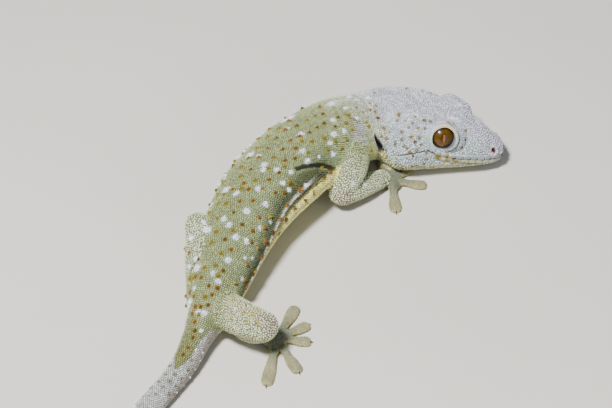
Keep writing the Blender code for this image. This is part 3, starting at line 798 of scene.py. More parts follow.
def ear_parts(spots):
    """How far across and along the ear's slit each point is, as parts of its half sizes, by side."""
    made = []
    for side in (1, -1):
        at = np.array([EAR_AT[0]])
        middle = TRUNK.point(at, np.array([EAR_AT[1] * side]))[0]
        forward = TRUNK.read(TRUNK.forward, at)[0]
        up = TRUNK.read(TRUNK.up, at)[0]
        slit = up * math.cos(EAR_SLANT) - forward * math.sin(EAR_SLANT)
        across = forward * math.cos(EAR_SLANT) + up * math.sin(EAR_SLANT)
        away = spots.points - middle
        near = np.linalg.norm(away, axis=1) < EAR_REACH
        lengthwise = away @ slit / EAR_HALF[1]
        half = EAR_HALF[0] * np.sqrt(np.clip(1 - lengthwise**2, 0.02, 1.0))
        made.append((np.where(near, away @ across / half, FAR_OFF), np.where(near, lengthwise, FAR_OFF)))
    return made


def nostril_place(side):
    return TRUNK.point(np.array([NOSTRIL_AT[0]]), np.array([NOSTRIL_AT[1] * side]), -COAT_DEPTH)[0]


def nostril_gap(points, side):
    return np.linalg.norm(points - nostril_place(side), axis=1)


# Where the fold of the flank and the crease of the armpit run: along the body, angle
FLANK_FOLD = np.array([(80, 88), (88, 84), (96, 84), (104, 83), (112, 89), (120, 96), (128, 101), (142, 101)])
ARMPIT = np.array([(91, 52), (87, 61), (83, 74), (77, 97)])
# The trunk's radius there, by which an angle is taken as a length
FLANK_RADIUS = 12.0


def from_path(spots, path, side):
    """Distance in millimetres over the skin from a line given along the body and in angle."""
    arc = math.radians(1) * FLANK_RADIUS
    points = np.column_stack([spots.along, spots.angle * side * arc])
    line = np.column_stack([path[:, 0], path[:, 1] * arc])
    best = np.full(len(points), np.inf)
    for a, b in zip(line, line[1:]):
        reach = b - a
        part = np.clip((points - a) @ reach / (reach @ reach), 0, 1)
        best = np.minimum(best, np.linalg.norm(points - a - part[:, None] * reach, axis=1))
    return np.where(spots.on("trunk"), best, np.inf)


def from_either(spots, path):
    return np.minimum(from_path(spots, path, 1), from_path(spots, path, -1))


def fold_angle(along):
    return np.interp(along, FLANK_FOLD[:, 0], FLANK_FOLD[:, 1])


# The groove about the lid: its distance from the line of sight, its half width, its depth and its end
LID_GROOVE_AT = 5.45
LID_GROOVE_SPAN = 0.42
LID_GROOVE_DEPTH = 1.1
LID_GROOVE_END = 8.0
# The direction in which it is deepest in degrees, how much it narrows, and the power by which it fades
LID_FRONT = (12, 0.85, 1.5)
# How far from the far eye's line of sight the smooth lid reaches, at most
FAR_LID_EDGE = 4.15


def lid_groove(turn, ring, height, span):
    """How much each point about the eye is in the lid's groove."""
    return bump(ring, LID_GROOVE_AT, span) * lid_front(turn) * (height > -1) * (ring < LID_GROOVE_END)


def lid_front(turn):
    """How much each direction about the eye, in degrees from straight ahead, has the lid's groove."""
    deepest, narrow, power = LID_FRONT
    return np.cos(np.radians(np.clip((turn - deepest) * narrow, -90, 90))) ** power


# The distance behind the snout past which the mouth has no relief and no colour
FACE_END = 40
# Relief at the mouth: height, distance above the line of the mouth and half width. The swell is on both lips
MOUTH_GROOVE = (-0.75, 0.0, 0.26)
LIP_SWELL = (0.22, 0.95, 0.5)
LIP_CREASES = ((-0.16, 2.0, 0.22), (-0.14, -2.0, 0.25))
CREASES_FROM = (8, 12)
# The nostril: height, place and half width of its rim, then depth and radius of its pit
NOSTRIL_SWELL = (0.3, 1.55, 0.5)
NOSTRIL_PIT = (1.4, 0.85)
# The fold of the flank: where it starts and ends along the body, its ridge, and the hollow below it
FOLD_ENDS = (78, 88, 134, 142)
FOLD_RIDGE = (0.6, 0.55)
FOLD_HOLLOW = (0.7, 2.2, 1.1)
ARMPIT_CREASE = (1.3, 1.1)
# The ear: depth, the part of it that the back wall lacks, then the rim's height, place and half width
EAR_PIT = (2.4, 0.7)
EAR_RIM = (0.25, 1.9, 0.7)
# Fine wrinkles: seed and size of their cells, their height, and how far they stretch upright
WRINKLES = (5, 3.2)
WRINKLE_HEIGHT = 0.05
WRINKLE_SPREAD = (1, 1, 0.4)


def carve(spots):
    """How far each point of the skin moves out, for mouth, nostrils, folds, armpits, lids and ears."""
    rise = np.zeros(len(spots.points))
    gap = spots.up - mouth_height(spots.back)
    beside = spots.on("trunk") & (spots.back < FACE_END) & (np.abs(spots.right) > 1.0)
    fade = mouth_fade(spots.back) * beside
    rise += MOUTH_GROOVE[0] * bump(gap, *MOUTH_GROOVE[1:]) * fade
    rise += LIP_SWELL[0] * bump(np.abs(gap), *LIP_SWELL[1:]) * fade
    for height, above, span in LIP_CREASES:
        rise += height * bump(gap, above, span) * fade * smooth(*CREASES_FROM, spots.back)
    for side in (1, -1):
        apart = nostril_gap(spots.points, side)
        depth, radius = NOSTRIL_PIT
        rise += NOSTRIL_SWELL[0] * bump(apart, *NOSTRIL_SWELL[1:]) - depth * np.exp(-((apart / radius) ** 4))
        near = spots.on("trunk") & (spots.right * side > 0)
        fold = from_path(spots, FLANK_FOLD, side)
        ends = between(FOLD_ENDS, spots.along)
        rise += FOLD_RIDGE[0] * bump(fold, 0.0, FOLD_RIDGE[1]) * ends * near
        below = np.abs(spots.angle) > fold_angle(spots.along)
        rise -= FOLD_HOLLOW[0] * bump(fold, *FOLD_HOLLOW[1:]) * ends * near * below
        rise -= ARMPIT_CREASE[0] * bump(from_path(spots, ARMPIT, side), 0.0, ARMPIT_CREASE[1]) * near
        ring, height, turn = eye_parts(spots.points, side)
        rise -= LID_GROOVE_DEPTH * lid_groove(np.degrees(turn), ring, height, LID_GROOVE_SPAN)
    for across, lengthwise in ear_parts(spots):
        inside = 1 - smooth(0.55, 1.15, np.abs(across))
        wall = 1 - EAR_PIT[1] * smooth(-0.2, 0.8, across)
        rise -= EAR_PIT[0] * inside * (np.abs(lengthwise) < 1.05) * wall
        rise += EAR_RIM[0] * bump(np.abs(across), *EAR_RIM[1:]) * (np.abs(lengthwise) < 1.1)
    return rise + WRINKLE_HEIGHT * Cells(*WRINKLES)(spots.points * np.array(WRINKLE_SPREAD))


# How far below the eye's surface the skin lies in front of it
EYE_CLEARANCE = 0.5


def open_eyes(points):
    """Points of the skin in front of an eye go back behind it, and those by the edge onto the edge."""
    moved = points.copy()
    for side in (1, -1):
        look, ahead, upward = eye_axes(side)
        ring, height, turn = eye_parts(points, side)
        hidden = np.sqrt(np.clip((EYE_RADIUS - EYE_CLEARANCE) ** 2 - ring**2, 0.3, None))
        edge = (np.abs(ring - LID_OPENING) < LID_EDGE_REACH) & (height > hidden)
        moved[edge] += (spokes(ahead, upward, turn) * (LID_OPENING - ring)[:, None])[edge]
        over = (ring < LID_OPENING) & (height > hidden)
        moved[over] -= look * (height - hidden)[over][:, None]
    return moved


# Where a limb leaves the trunk: rounds of smoothing, the gaps to both between which it fades, its strength
SOFTEN_ROUNDS = 45
SOFTEN_REACH = (2.8, 1.0)
SOFTEN_PART = 0.6
FLOOR_GAP = 0.02


def soften_joints(data, points):
    """Where a limb leaves the trunk the skin runs smoothly from one to the other."""
    gaps = [PLACES.gap_to(points, "trunk"), PLACES.gap_to(points, "upper_limb")]
    weight = smooth(*SOFTEN_REACH, np.maximum(*gaps))[:, None] * SOFTEN_PART
    ends = read_values(data.edges, "vertices", 2, np.int32)
    a, b = ends.T
    count = np.bincount(ends.ravel(), minlength=len(points))[:, None]
    for _ in range(SOFTEN_ROUNDS):
        total = np.column_stack([
            np.bincount(a, points[b, k], len(points)) + np.bincount(b, points[a, k], len(points))
            for k in range(3)])
        points = points + (total / count - points) * weight
    return points


def shape_skin(skin):
    """The skin softened and carved. Returns its points' spots from before it was carved."""
    data = skin.data
    points = soften_joints(data, read_points(data))
    write_points(data, points)
    data.update()
    spots = PLACES.find(points)
    points = open_eyes(points + read_normals(data) * carve(spots)[:, None])
    points[:, 2] = np.maximum(points[:, 2], FLOOR_GAP)
    write_points(data, points)
    data.update()
    return spots


# Marks


# Read from the photo: where each mark is in pixels, and its radius in millimetres
WHITE_SPOTS = [
    (331, 104, 2.2), (290, 118, 2.2), (284, 121, 1.6), (288, 128, 1.0), (301, 134, 1.5), (333, 120, 1.3),
    (334, 134, 1.4), (330, 143, 1.1), (303, 151, 1.5), (308, 161, 1.3), (319, 157, 0.8), (333, 154, 1.2),
    (264, 165, 1.5), (263, 170, 1.2), (277, 170, 1.3), (250, 155, 2.0), (259, 156, 1.1), (283, 183, 1.2),
    (291, 172, 1.0), (259, 189, 1.4), (226, 190, 1.7), (251, 142, 1.0), (289, 190, 1.0), (236, 194, 1.2),
    (306, 185, 0.9), (237, 193, 1.1), (266, 204, 1.3), (247, 211, 1.5), (224, 219, 1.4), (229, 225, 1.4),
    (208, 230, 1.8), (236, 237, 1.5), (247, 241, 1.4), (260, 228, 1.2), (270, 222, 0.9), (228, 260, 1.4),
    (245, 258, 0.8), (252, 258, 0.9), (197, 268, 1.7), (213, 273, 1.3), (218, 281, 1.4), (189, 266, 1.2),
    (242, 279, 1.0), (204, 313, 1.4), (198, 312, 1.2), (190, 303, 2.0), (186, 297, 1.4), (191, 238, 1.3),
    (201, 331, 1.0), (204, 222, 1.1), (372, 104, 1.0), (368, 98, 1.4), (357, 100, 1.2), (349, 97, 1.3),
    (346, 108, 1.1), (344, 131, 1.2), (357, 118, 1.0)]
# Soft patches: pixel across and down, radius, colour
PATCHES = [
    (371, 150, 1.5, YELLOW), (373.5, 157, 1.7, CREAM), (381, 163.5, 1.6, CREAM), (391, 167, 1.5, CREAM),
    (375, 142, 1.3, CREAM), (232, 303, 3.2, CREAM), (244, 306, 2.6, CREAM), (256, 312, 2.4, CREAM),
    (272, 325, 3.0, PINK), (262, 318, 2.6, PINK),
    (353, 183, 0.7, SPOT), (365, 184.5, 0.7, SPOT), (345, 196, 0.7, SPOT), (346, 199, 3.2, PINK),
    (361, 128, 2.3, NECK_GREY), (365, 141, 1.8, NECK_GREY), (356, 136, 1.6, NECK_GREY),
    # a row of painted shade along a crease of the neck
    (350, 118.4, 0.5, CREASE_SHADE), (353, 119.3, 0.5, CREASE_SHADE), (356, 120.3, 0.5, CREASE_SHADE),
    (359, 121.2, 0.45, CREASE_SHADE)]
# How much each dark fleck covers the skin's colour, where it isn't nearly all
FLECK_PARTS = {"brown": 0.72, "olive": 0.75, "mauve": 0.5, "grey": 0.85}
COLOURS = {
    "rust": RUST, "orange": ORANGE, "ochre": OCHRE, "brown": BROWN, "olive": OLIVE, "yellow": YELLOW,
    "grey": GREY, "white": SPOT, "mauve": MAUVE, "mustard": MUSTARD}
# Cones: pixel across and down, by colour
CONES = {
    "rust": [
        (320, 108), (289, 122), (300, 137), (286, 131), (268, 149), (296, 149), (285, 161), (259, 158),
        (249, 159), (269, 180), (244, 184), (249, 190), (233, 190), (330, 172), (253, 201),
        (259, 218), (252, 231), (231, 250), (202, 278), (217, 288), (212, 295), (196, 307), (195, 322),
        (193, 314), (246, 265), (246, 287), (291, 141), (265, 241), (378, 118), (370, 110), (188, 348),
        (240, 202), (264, 228)],
    "brown": [
        (323, 115), (324, 124), (317, 128), (310, 133), (297, 127), (277, 139), (283, 150), (295, 159),
        (251, 170), (279, 173), (275, 193), (284, 193), (242, 225), (234, 213), (225, 240), (209, 286),
        (208, 305), (223, 271), (195, 331), (190, 253), (245, 280), (338, 118), (335, 127), (183, 355),
        (201, 307), (258, 248), (251, 242), (290, 184), (193, 338)],
    "ochre": [
        (307, 121), (315, 117), (279, 130), (268, 138), (302, 142), (312, 142), (258, 149), (242, 168),
        (269, 169), (262, 189), (242, 189), (219, 204), (227, 204), (217, 232), (212, 243), (233, 231),
        (205, 268), (205, 297), (218, 276), (216, 266), (254, 272), (194, 278), (370, 104),
        (366, 123), (375, 112), (348, 116), (352, 130), (341, 148), (274, 158)],
    "olive": [
        (324, 139), (335, 141), (327, 150), (308, 153), (284, 167), (241, 177), (255, 181), (218, 219),
        (221, 254), (235, 283), (225, 195), (199, 315), (186, 249), (322, 168), (346, 124), (356, 108),
        (363, 113), (270, 217), (346, 140)],
    "white": [
        (202.0, 352.5), (199.2, 360.4), (194.4, 369), (189, 377), (183, 385), (195.7, 350.2), (176, 392),
        (235.5, 308.8)],
}
# Flecks: pixel across and down, by colour
FLECKS = {
    "rust": [
        (414.9, 142.1), (413.1, 156.2), (402.9, 168.4), (421.4, 144.7), (378, 118), (453, 158),
        (316.6, 184.5), (309, 187.9), (298.4, 198.4), (295.1, 209), (286.5, 220), (278.8, 234),
        (329.5, 171.6), (273.5, 232.9), (304.6, 200.3), (305.8, 200.7), (253.5, 273), (289.6, 225)],
    "brown": [
        (395.5, 142.5), (402.2, 139.2), (396.1, 163.9), (412.7, 166.4), (430.6, 121.5), (425.1, 128.6)],
    "orange": [
        (383.9, 128.4), (386.9, 139), (409.8, 152.7), (314.2, 194.1), (313.6, 192), (307, 203),
        (300.3, 190.3), (287.4, 205.1), (279.8, 219), (324.7, 177.8), (268, 244), (262, 257)],
    "ochre": [
        (426.3, 152.9), (407.1, 148), (438.8, 158.6), (447.2, 160.6), (456.1, 161.5), (463.6, 162.6),
        (469.8, 162.9), (424.5, 120.7), (465, 139.4), (461.6, 147.6), (424.6, 163.3)],
    "mustard": [
        (389.2, 132.5), (410.2, 137.2), (412, 136.8), (418.2, 128.2), (405.1, 120.9), (391, 164.7),
        (396.3, 159), (398.8, 114.1), (415.1, 116.8), (432.2, 166.8), (381.2, 136.6), (399, 116),
        (371, 96), (374, 93), (369, 127), (376, 106), (465.7, 130.5), (401.6, 131.8), (447, 155.5)],
    "olive": [
        (419.4, 138), (412.7, 123.5), (408.6, 127.6), (402.2, 132.1), (395.1, 145.1), (397.6, 120.7),
        (393.5, 152.1), (404.1, 146), (426.9, 159.4), (436.5, 156.6), (440, 167), (417, 150), (450, 167),
        (476, 163), (380, 165), (386, 151), (417, 166)],
    "yellow": [
        (372, 149), (384, 156), (379, 153), (373, 156), (388, 160), (257.6, 308.8), (246.7, 321.5),
        (231, 318.7), (256.9, 323.9), (245.3, 313.1), (252.4, 314.8), (234, 300), (324, 181)],
    "mauve": [(481.7, 152.1)],
    "grey": [
        (170, 366), (174.7, 374.3), (165.3, 374.7), (158.9, 381.4), (170, 381), (181.4, 379.2),
        (188.2, 369.8), (191.6, 360.4), (163.4, 387), (175.4, 386), (155.9, 394), (151.3, 387.8),
        (169.4, 393.8), (149, 396), (143.4, 396.5)],
}
# Their radius, and how much larger the rust and orange ones are behind the neck
FLECK_RADIUS = 0.66
FLECK_GROWTH = 1.4
# On what the photo doesn't show, marks lie in rows: angle, first place along the body, spacing
UNSEEN_ROWS = ((-38, 66, 6.4), (-56, 64, 6.0), (-78, 66, 5.4), (-98, 70, 5.6))
UNSEEN_SPOTS = ((-45, 70, 11.0), (-68, 66, 12.0), (-90, 72, 13.0))
# Pale cones stand along the outline of the neck and shoulders
RIDGE_ROW = (-47, 54, 3.6)
RIDGE_END = 108
# Past the photo's edge the tail has whorls of pale cones: first place, last place, spacing, angles
TAIL_WHORLS = (196.0, 282.0, 6.0)
WHORL_ANGLES = (-108, -72, -38, 38, 72, 108)


def eye_of_view():
    """Where the camera stands, in the layout's millimetres."""
    return np.array([0.0, -math.cos(VIEW_ELEVATION), math.sin(VIEW_ELEVATION)]) * VIEW_DISTANCE


def cast(tree, start, toward):
    """Where a ray meets the skin, and the normal there."""
    place, normal, _, _ = tree.ray_cast(Vector((start + SHIFT) * MM), Vector(toward))
    return None if place is None else (np.array(place) / MM - SHIFT, np.array(normal))


def seen(tree, pixels):
    """The points of the skin that show at pixels of the photo, with their normals and the pixels' values."""
    ahead = np.array([0.0, math.cos(VIEW_ELEVATION), -math.sin(VIEW_ELEVATION)])
    above = np.array([0.0, math.sin(VIEW_ELEVATION), math.cos(VIEW_ELEVATION)])
    for across, down, *values in pixels:
        ray = ahead * VIEW_DISTANCE
        ray[0] += (across - PHOTO[0] / 2) * PIXEL
        ray += above * (PHOTO[1] / 2 - down) * PIXEL
        hit = cast(tree, eye_of_view(), unit(ray))
        if hit:
            yield *hit, across, values


def on_skin(tree, points):
    """The nearest points of the skin, their normals, and how far off they are."""
    found = [tree.find_nearest(Vector((point + SHIFT) * MM)) for point in points]
    places = np.array([place for place, _, _, _ in found]) / MM - SHIFT
    return places, np.array([normal for _, normal, _, _ in found]), np.array([gap for *_, gap in found]) / MM


# How far unseen marks stray along the body and in degrees, and how far off the skin one may be
UNSEEN_STRAY = (0.8, 4)
UNSEEN_GAP = 0.8


def unseen_marks(tree, rows, seed, end=150):
    """Marks in rows along the side that the photo doesn't show."""
    draw = np.random.default_rng(seed)
    along = []
    angle = []
    for row_angle, start, spacing in rows:
        places = np.arange(start, end, spacing)
        along.append(places + draw.uniform(-UNSEEN_STRAY[0], UNSEEN_STRAY[0], len(places)))
        angle.append(row_angle + draw.uniform(-UNSEEN_STRAY[1], UNSEEN_STRAY[1], len(places)))
    points = TRUNK.point(np.concatenate(along), np.concatenate(angle))
    places, normals, gaps = on_skin(tree, points)
    near = gaps < UNSEEN_GAP
    return places[near], normals[near]


# Cones: the colours of the unseen ones, how their size varies, where the small ones start, how small they are
UNSEEN_COLOURS = ("rust", "brown", "ochre", "olive")
CONE_SPREAD = (0.85, 1.15)
NAPE_PIXEL = 352
SMALL_CONE = 0.6
SPOT_CONE = 0.85
RIDGE_SPREAD = (1.0, 1.3)
# Spots: their radius on the unseen side, the part of it that is white, and the least radius that has a cone
UNSEEN_SPREAD = (1.0, 1.7)
SPOT_PART = 0.8
CONE_SPOT = 1.25
# Along the tail, the size of the whorls' cones, and how far the grey fleck is from its cone
WHORL_SIZES = ((196, 250, 284), (0.85, 0.6, 0.35))
WHORL_STRAY = 1.4
# Flecks: how their radius varies, and how far a fleck of the far cheek strays from its match
FLECK_SPREAD = (0.75, 1.2)
FLECK_STRAY = (0.5, 0.4)
HEAD_FLECKS = 45
NECK_FLECKS = 60


class Marks:
    """The spots, cones and flecks as places on the skin."""

    def __init__(self, tree):
        self.tree = tree
        self.draw = np.random.default_rng(11)
        self.spots = []
        self.cones = []
        self.flecks = []
        self.patches = [(place, tint, radius) for place, _, _, (radius, tint) in seen(tree, PATCHES)]
        for place, normal, _, values in seen(tree, WHITE_SPOTS):
            self.add_spot(place, normal, *values)
        for place, normal in zip(*unseen_marks(tree, UNSEEN_SPOTS, 3)):
            self.add_spot(place, normal, self.draw.uniform(*UNSEEN_SPREAD))
        for name, pixels in CONES.items():
            for place, normal, across, _ in seen(tree, pixels):
                part = SMALL_CONE if across > NAPE_PIXEL or name == "white" else 1
                self.cones.append((place, normal, name, self.draw.uniform(*CONE_SPREAD) * part))
        for place, normal in zip(*unseen_marks(tree, UNSEEN_ROWS, 4)):
            name = UNSEEN_COLOURS[self.draw.integers(len(UNSEEN_COLOURS))]
            self.cones.append((place, normal, name, self.draw.uniform(*CONE_SPREAD)))
        for place, normal in zip(*unseen_marks(tree, (RIDGE_ROW,), 5, RIDGE_END)):
            self.cones.append((place, normal, "white", self.draw.uniform(*RIDGE_SPREAD)))
        self.add_whorls()
        for name, pixels in FLECKS.items():
            for place, *_ in seen(tree, pixels):
                self.add_fleck(place, name)

    def add_spot(self, place, normal, radius):
        """A white spot, with a white cone in it if it is large."""
        self.spots.append((place, radius * SPOT_PART))
        if radius > CONE_SPOT:
            self.cones.append((place, normal, "white", SPOT_CONE))

    def add_whorls(self):
        """Rings of pale cones round the tail, each with a grey fleck by it."""
        along, angle = (values.ravel() for values in np.meshgrid(np.arange(*TAIL_WHORLS), WHORL_ANGLES))
        places, normals, _ = on_skin(self.tree, TRUNK.point(along, angle))
        for place, normal, size in zip(places, normals, np.interp(along, *WHORL_SIZES)):
            self.cones.append((place, normal, "white", size))
            stray = self.draw.uniform(-WHORL_STRAY, WHORL_STRAY, 3) * size
            self.flecks.append((place + stray, "grey", 0.5 * size))

    def add_fleck(self, place, name):
        """A fleck, and on the head its match on the other side."""
        radius = FLECK_RADIUS * self.draw.uniform(*FLECK_SPREAD)
        back, right, up = head_parts(place)
        if back > NECK_FLECKS and name in ("rust", "orange"):
            radius *= FLECK_GROWTH
        self.flecks.append((place, name, radius))
        if back < HEAD_FLECKS:
            back += self.draw.uniform(-FLECK_STRAY[0], FLECK_STRAY[0])
            up += self.draw.uniform(-FLECK_STRAY[1], FLECK_STRAY[1])
            self.flecks.append((head_point(back, -right, up), name, radius))


# Seed and size of the cells that make the edge of a mark uneven
UNEVEN = (41, 1.7)


def near_marks(points, marks, soft=0.35, wander=0.0):
    """Each mark, the points that it colours, and how strongly. Its place is first in it, its radius last."""
    tree = tree_over(points, range(len(points)))
    uneven = wander * Cells(*UNEVEN)(points)
    for mark in marks:
        radius = mark[-1]
        found = tree.find_range(mark[0], radius * (1 + soft) + wander)
        if found:
            rows = np.array([i for _, i, _ in found])
            gaps = np.array([gap for *_, gap in found]) + uneven[rows]
            yield mark, rows, 1 - smooth(radius * (1 - soft), radius * (1 + soft), gaps)


# Colours


def read_ramp(at, stops):
    """Colour at each place, from pairs of place and colour."""
    places = [stop[0] for stop in stops]
    colours = np.array([stop[1] for stop in stops])
    return np.stack([np.interp(at, places, column) for column in colours.T], axis=-1)


# The colours along the body on top, at the side and below, and the angles between which the side begins
TOP_TINTS = [(0, SNOUT), (9, HEAD_TOP), (44, HEAD_TOP), (58, NECK), (72, BACK), (152, BACK), (168, TAIL_TOP)]
SIDE_TINTS = [
    (0, SNOUT), (9, HEAD_SIDE), (42, HEAD_SIDE), (56, NECK), (70, FLANK), (150, FLANK), (168, TAIL_TOP)]
LOW_TINTS = [(0, SNOUT), (9, HEAD_LOW), (45, HEAD_LOW), (60, BELLY)]
SIDE_FROM = (38, 72)
# Painted shade darkens the flank towards its fold: ends along the body, degrees above the fold, and how much
DARK_ENDS = (74, 84, 134, 144)
DARK_FROM = (42, 9)
DARK_PART = 0.85
# The colour below starts under the jaw at one angle, and behind the neck just under the fold
JAW_END = 56
JAW_ANGLE = 112.0
UNDER_FOLD = 6
LOW_EDGE = (-2, 4)
# The green of the back ends in a wedge on the tail: along the body, left and right edges in degrees
WEDGE = np.array([
    (146, -180, 200), (151, -54, 200), (158, -55, 62), (164, -55, 38), (170.5, -50, 35), (175.3, -12, 18),
    (177.5, 4, 6), (179, 5, 5)])
# How soft its edges are in degrees, and where its end fades along the body
WEDGE_EDGE = 6
WEDGE_END = (177, 178.5)
# The pale tail has painted shade on its right side, by angle and along the body
SHADE_ANGLES = (45, 80)
SHADE_END = (180, 200)
# Its faint rings past the photo's edge: the first, the spacing, where they set in, and their reach in degrees
TAIL_RINGS = (198.0, 17.0)
RINGS_FROM = (196, 206)
RINGS_REACH = 125


def trunk_tint(spots):
    """The colour of the trunk and the tail without mottling and marks, with painted shade on the flank above
    its fold and on the pale tail's right side.
    """
    along = spots.along
    angle = np.abs(spots.angle)
    colour = mix(read_ramp(along, TOP_TINTS), read_ramp(along, SIDE_TINTS), smooth(*SIDE_FROM, angle))
    fold = fold_angle(along)
    # painted shade on the flank above its fold
    dark = smooth(fold - DARK_FROM[0], fold - DARK_FROM[1], angle) * between(DARK_ENDS, along)
    colour = mix(colour, FLANK_SHADE, dark * DARK_PART)
    edge = np.where(along < JAW_END, JAW_ANGLE, fold + UNDER_FOLD)
    colour = mix(colour, read_ramp(along, LOW_TINTS), smooth(edge + LOW_EDGE[0], edge + LOW_EDGE[1], angle))
    left, right = (np.interp(along, WEDGE[:, 0], WEDGE[:, k]) for k in (1, 2))
    edges = (left - WEDGE_EDGE, left + WEDGE_EDGE, right - WEDGE_EDGE, right + WEDGE_EDGE)
    green = between(edges, spots.angle) * (1 - smooth(*WEDGE_END, along))
    green = np.where(along < WEDGE[0, 0], 1.0, green)
    # painted shade on the right side of the pale tail
    pale = mix(TAIL_PALE, TAIL_SHADE, smooth(*SHADE_ANGLES, spots.angle) * (1 - smooth(*SHADE_END, along)))
    return mix(pale, colour, green)


def tail_rings(spots):
    """How dark the tail is along its faint rings."""
    first, spacing = TAIL_RINGS
    wave = np.cos((spots.along - first) / spacing * math.tau)
    return smooth(0.1, 0.9, wave) * smooth(*RINGS_FROM, spots.along) * (np.abs(spots.angle) < RINGS_REACH)


# Mottling: seed and size of the cells, and how much lighter and darker they are
MOTTLES = (((21, 9.0), 0.11), ((22, 2.6), 0.1))
# Ochre clouds on the body and pale ones on the head: cells, range of the cells' values, ends along the body
CLOUDS = ((23, 3.4), (0.25, 1.1), (30, 50, 150, 176))
CLOUD_REACH = 95
CROWN = ((24, 3.6), (-0.1, 0.9), (12, 20))
CROWN_END = 60
CROWN_REACH = (70, 40)
# The fold's pale edge and the painted shade in the dark hollow under it: ends, half width, then place and
# half width
FOLD_TINT_ENDS = (86, 92, 136, 142)
FOLD_EDGE = 0.42
FOLD_SHADE = (1.5, 0.65)
# Half width of the painted shade in the armpit's crease
PIT_SPAN = 0.8
# How strongly each colour covers the one below it
COVER = {
    # Four of these are strengths of painted shade: in the fold's hollow, the armpit, the line of the mouth
    # and the lid's groove
    "cloud": 0.3, "crown": 0.6, "ring": 0.5, "hollow_shade": 0.9, "armpit_shade": 0.9, "patch": 0.7, "halo": 0.55,
    "fleck": 0.95, "lips": 0.9, "groove": 0.95, "rim": 0.7}
# The marks' soft edges as parts of their radius, the spots' wander, and a cone's halo as a part of its size
PATCH_SOFT = 0.6
SPOT_SOFT = 0.42
SPOT_WANDER = 0.34
HALO_SIZE = 1.15


def limb_tint(spots, normals, colour):
    """The colour with that of the limbs, hands and feet put in."""
    upright = normals[:, 2]
    # the limbs are yellower and darker where they face down: the yellow their own, the darkening painted
    # shade
    limb = mix(LIMB, LIMB_LOW_SHADED, smooth(0.1, -0.6, upright))
    limb = mix(LIMB_ROOT, limb, smooth(0.1, 0.6, spots.value + spots.on("lower_limb")))
    toe = mix(HAND, TOE_TOP, smooth(0.2, 0.6, spots.value))
    toe = mix(toe, TOE_EDGE, smooth(0.8, 0.45, upright))
    colour = np.where(spots.on(*LIMB_KINDS)[:, None], limb, colour)
    colour = np.where(spots.on("palm")[:, None], HAND, colour)
    return np.where(spots.on("toe")[:, None], toe, colour)


def skin_tint(spots, normals, marks):
    """The colour of the skin and of the scales that grow on it, with painted shade in its folds, creases and
    grooves.
    """
    points = spots.points
    trunk = spots.on("trunk")
    angle = np.abs(spots.angle)
    colour = limb_tint(spots, normals, trunk_tint(spots))
    cells, values, ends = CLOUDS
    cloud = smooth(*values, Cells(*cells)(points)) * between(ends, spots.along) * (angle < CLOUD_REACH)
    colour = mix(colour, HALO, cloud * trunk * COVER["cloud"])
    cells, values, ends = CROWN
    crown = smooth(*values, Cells(*cells)(points)) * smooth(*ends, spots.along) * smooth(*CROWN_REACH, angle)
    crown *= spots.along < CROWN_END
    colour = mix(colour, HEAD_PALE, crown * trunk * COVER["crown"])
    colour = colour * (1 + sum(part * Cells(*cells)(points) for cells, part in MOTTLES))[:, None]
    colour = mix(colour, TAIL_RING, tail_rings(spots) * trunk * COVER["ring"])
    fold = from_either(spots, FLANK_FOLD)
    ends = between(FOLD_TINT_ENDS, spots.along)
    colour = mix(colour, FOLD, bump(fold, 0.0, FOLD_EDGE) * ends)
    # painted shade in the hollow under the fold
    hollow_shade = bump(fold, *FOLD_SHADE) * ends * (angle > fold_angle(spots.along))
    colour = mix(colour, FLANK_SHADE, hollow_shade * COVER["hollow_shade"])
    # painted shade in the armpit's crease
    colour = mix(colour, CREASE_SHADE, bump(from_either(spots, ARMPIT), 0.0, PIT_SPAN) * COVER["armpit_shade"])
    for (_, tint, _), rows, part in near_marks(points, marks.patches, PATCH_SOFT):
        colour[rows] = mix(colour[rows], tint, part * COVER["patch"])
    for _, rows, part in near_marks(points, marks.spots, SPOT_SOFT, SPOT_WANDER):
        colour[rows] = mix(colour[rows], SPOT, part)
    warm = [cone for cone in marks.cones if cone[2] not in ("white", "grey")]
    halos = [(place, HALO_SIZE * size) for place, _, _, size in warm]
    for _, rows, part in near_marks(points, halos):
        colour[rows] = mix(colour[rows], HALO, part * COVER["halo"])
    for (_, name, _), rows, part in near_marks(points, marks.flecks):
        colour[rows] = mix(colour[rows], COLOURS[name], part * FLECK_PARTS.get(name, COVER["fleck"]))
    return colour_face(spots, colour)


# Half widths of the painted shade along the line of the mouth beside the lips' plates and behind them
MOUTH_LINE = (0.24, 0.34)
# By degrees from straight ahead of the eye: how far from its line of sight the smooth lid reaches
LID_EDGES = ((-180, -150, -110, -40, 0, 60, 120, 180), (4.5, 4.4, 4.1, 4.1, 4.5, 4.85, 4.75, 4.5))
# The same for how much painted shade darkens the lid's inner edge, then where that edge ends
LID_INNER = ((-130, -70, 0, 40), (0.5, 0.95, 0.9, 0.5))
LID_INNER_END = (3.7, 4.0)
# Where the lid's colour fades by its edge, how strong it is on each side, and half width of the painted shade
# in the groove
LID_FADE = (-0.15, 0.1)
LID_COVER = {1: 0.9, -1: 0.25}
GROOVE_SHADE_SPAN = 0.36
# Where the colour of the nostril's rim and the painted shade in its pit end
RIM_END = (1.5, 2.6)
PIT_END = (0.9, 1.15)


def lip_line(spots):
    """How much each point of the skin is on the line between the lips, where painted shade darkens it."""
    gap = spots.up - mouth_height(spots.back)
    span = np.where(spots.back > LIP_END, MOUTH_LINE[1], MOUTH_LINE[0])
    return bump(gap, 0.0, span) * mouth_fade(spots.back) * (spots.on("trunk") & (spots.back < FACE_END))


def lid_edge(turn, side):
    edge = np.interp(turn, *LID_EDGES)
    return edge if side > 0 else np.minimum(edge, FAR_LID_EDGE)


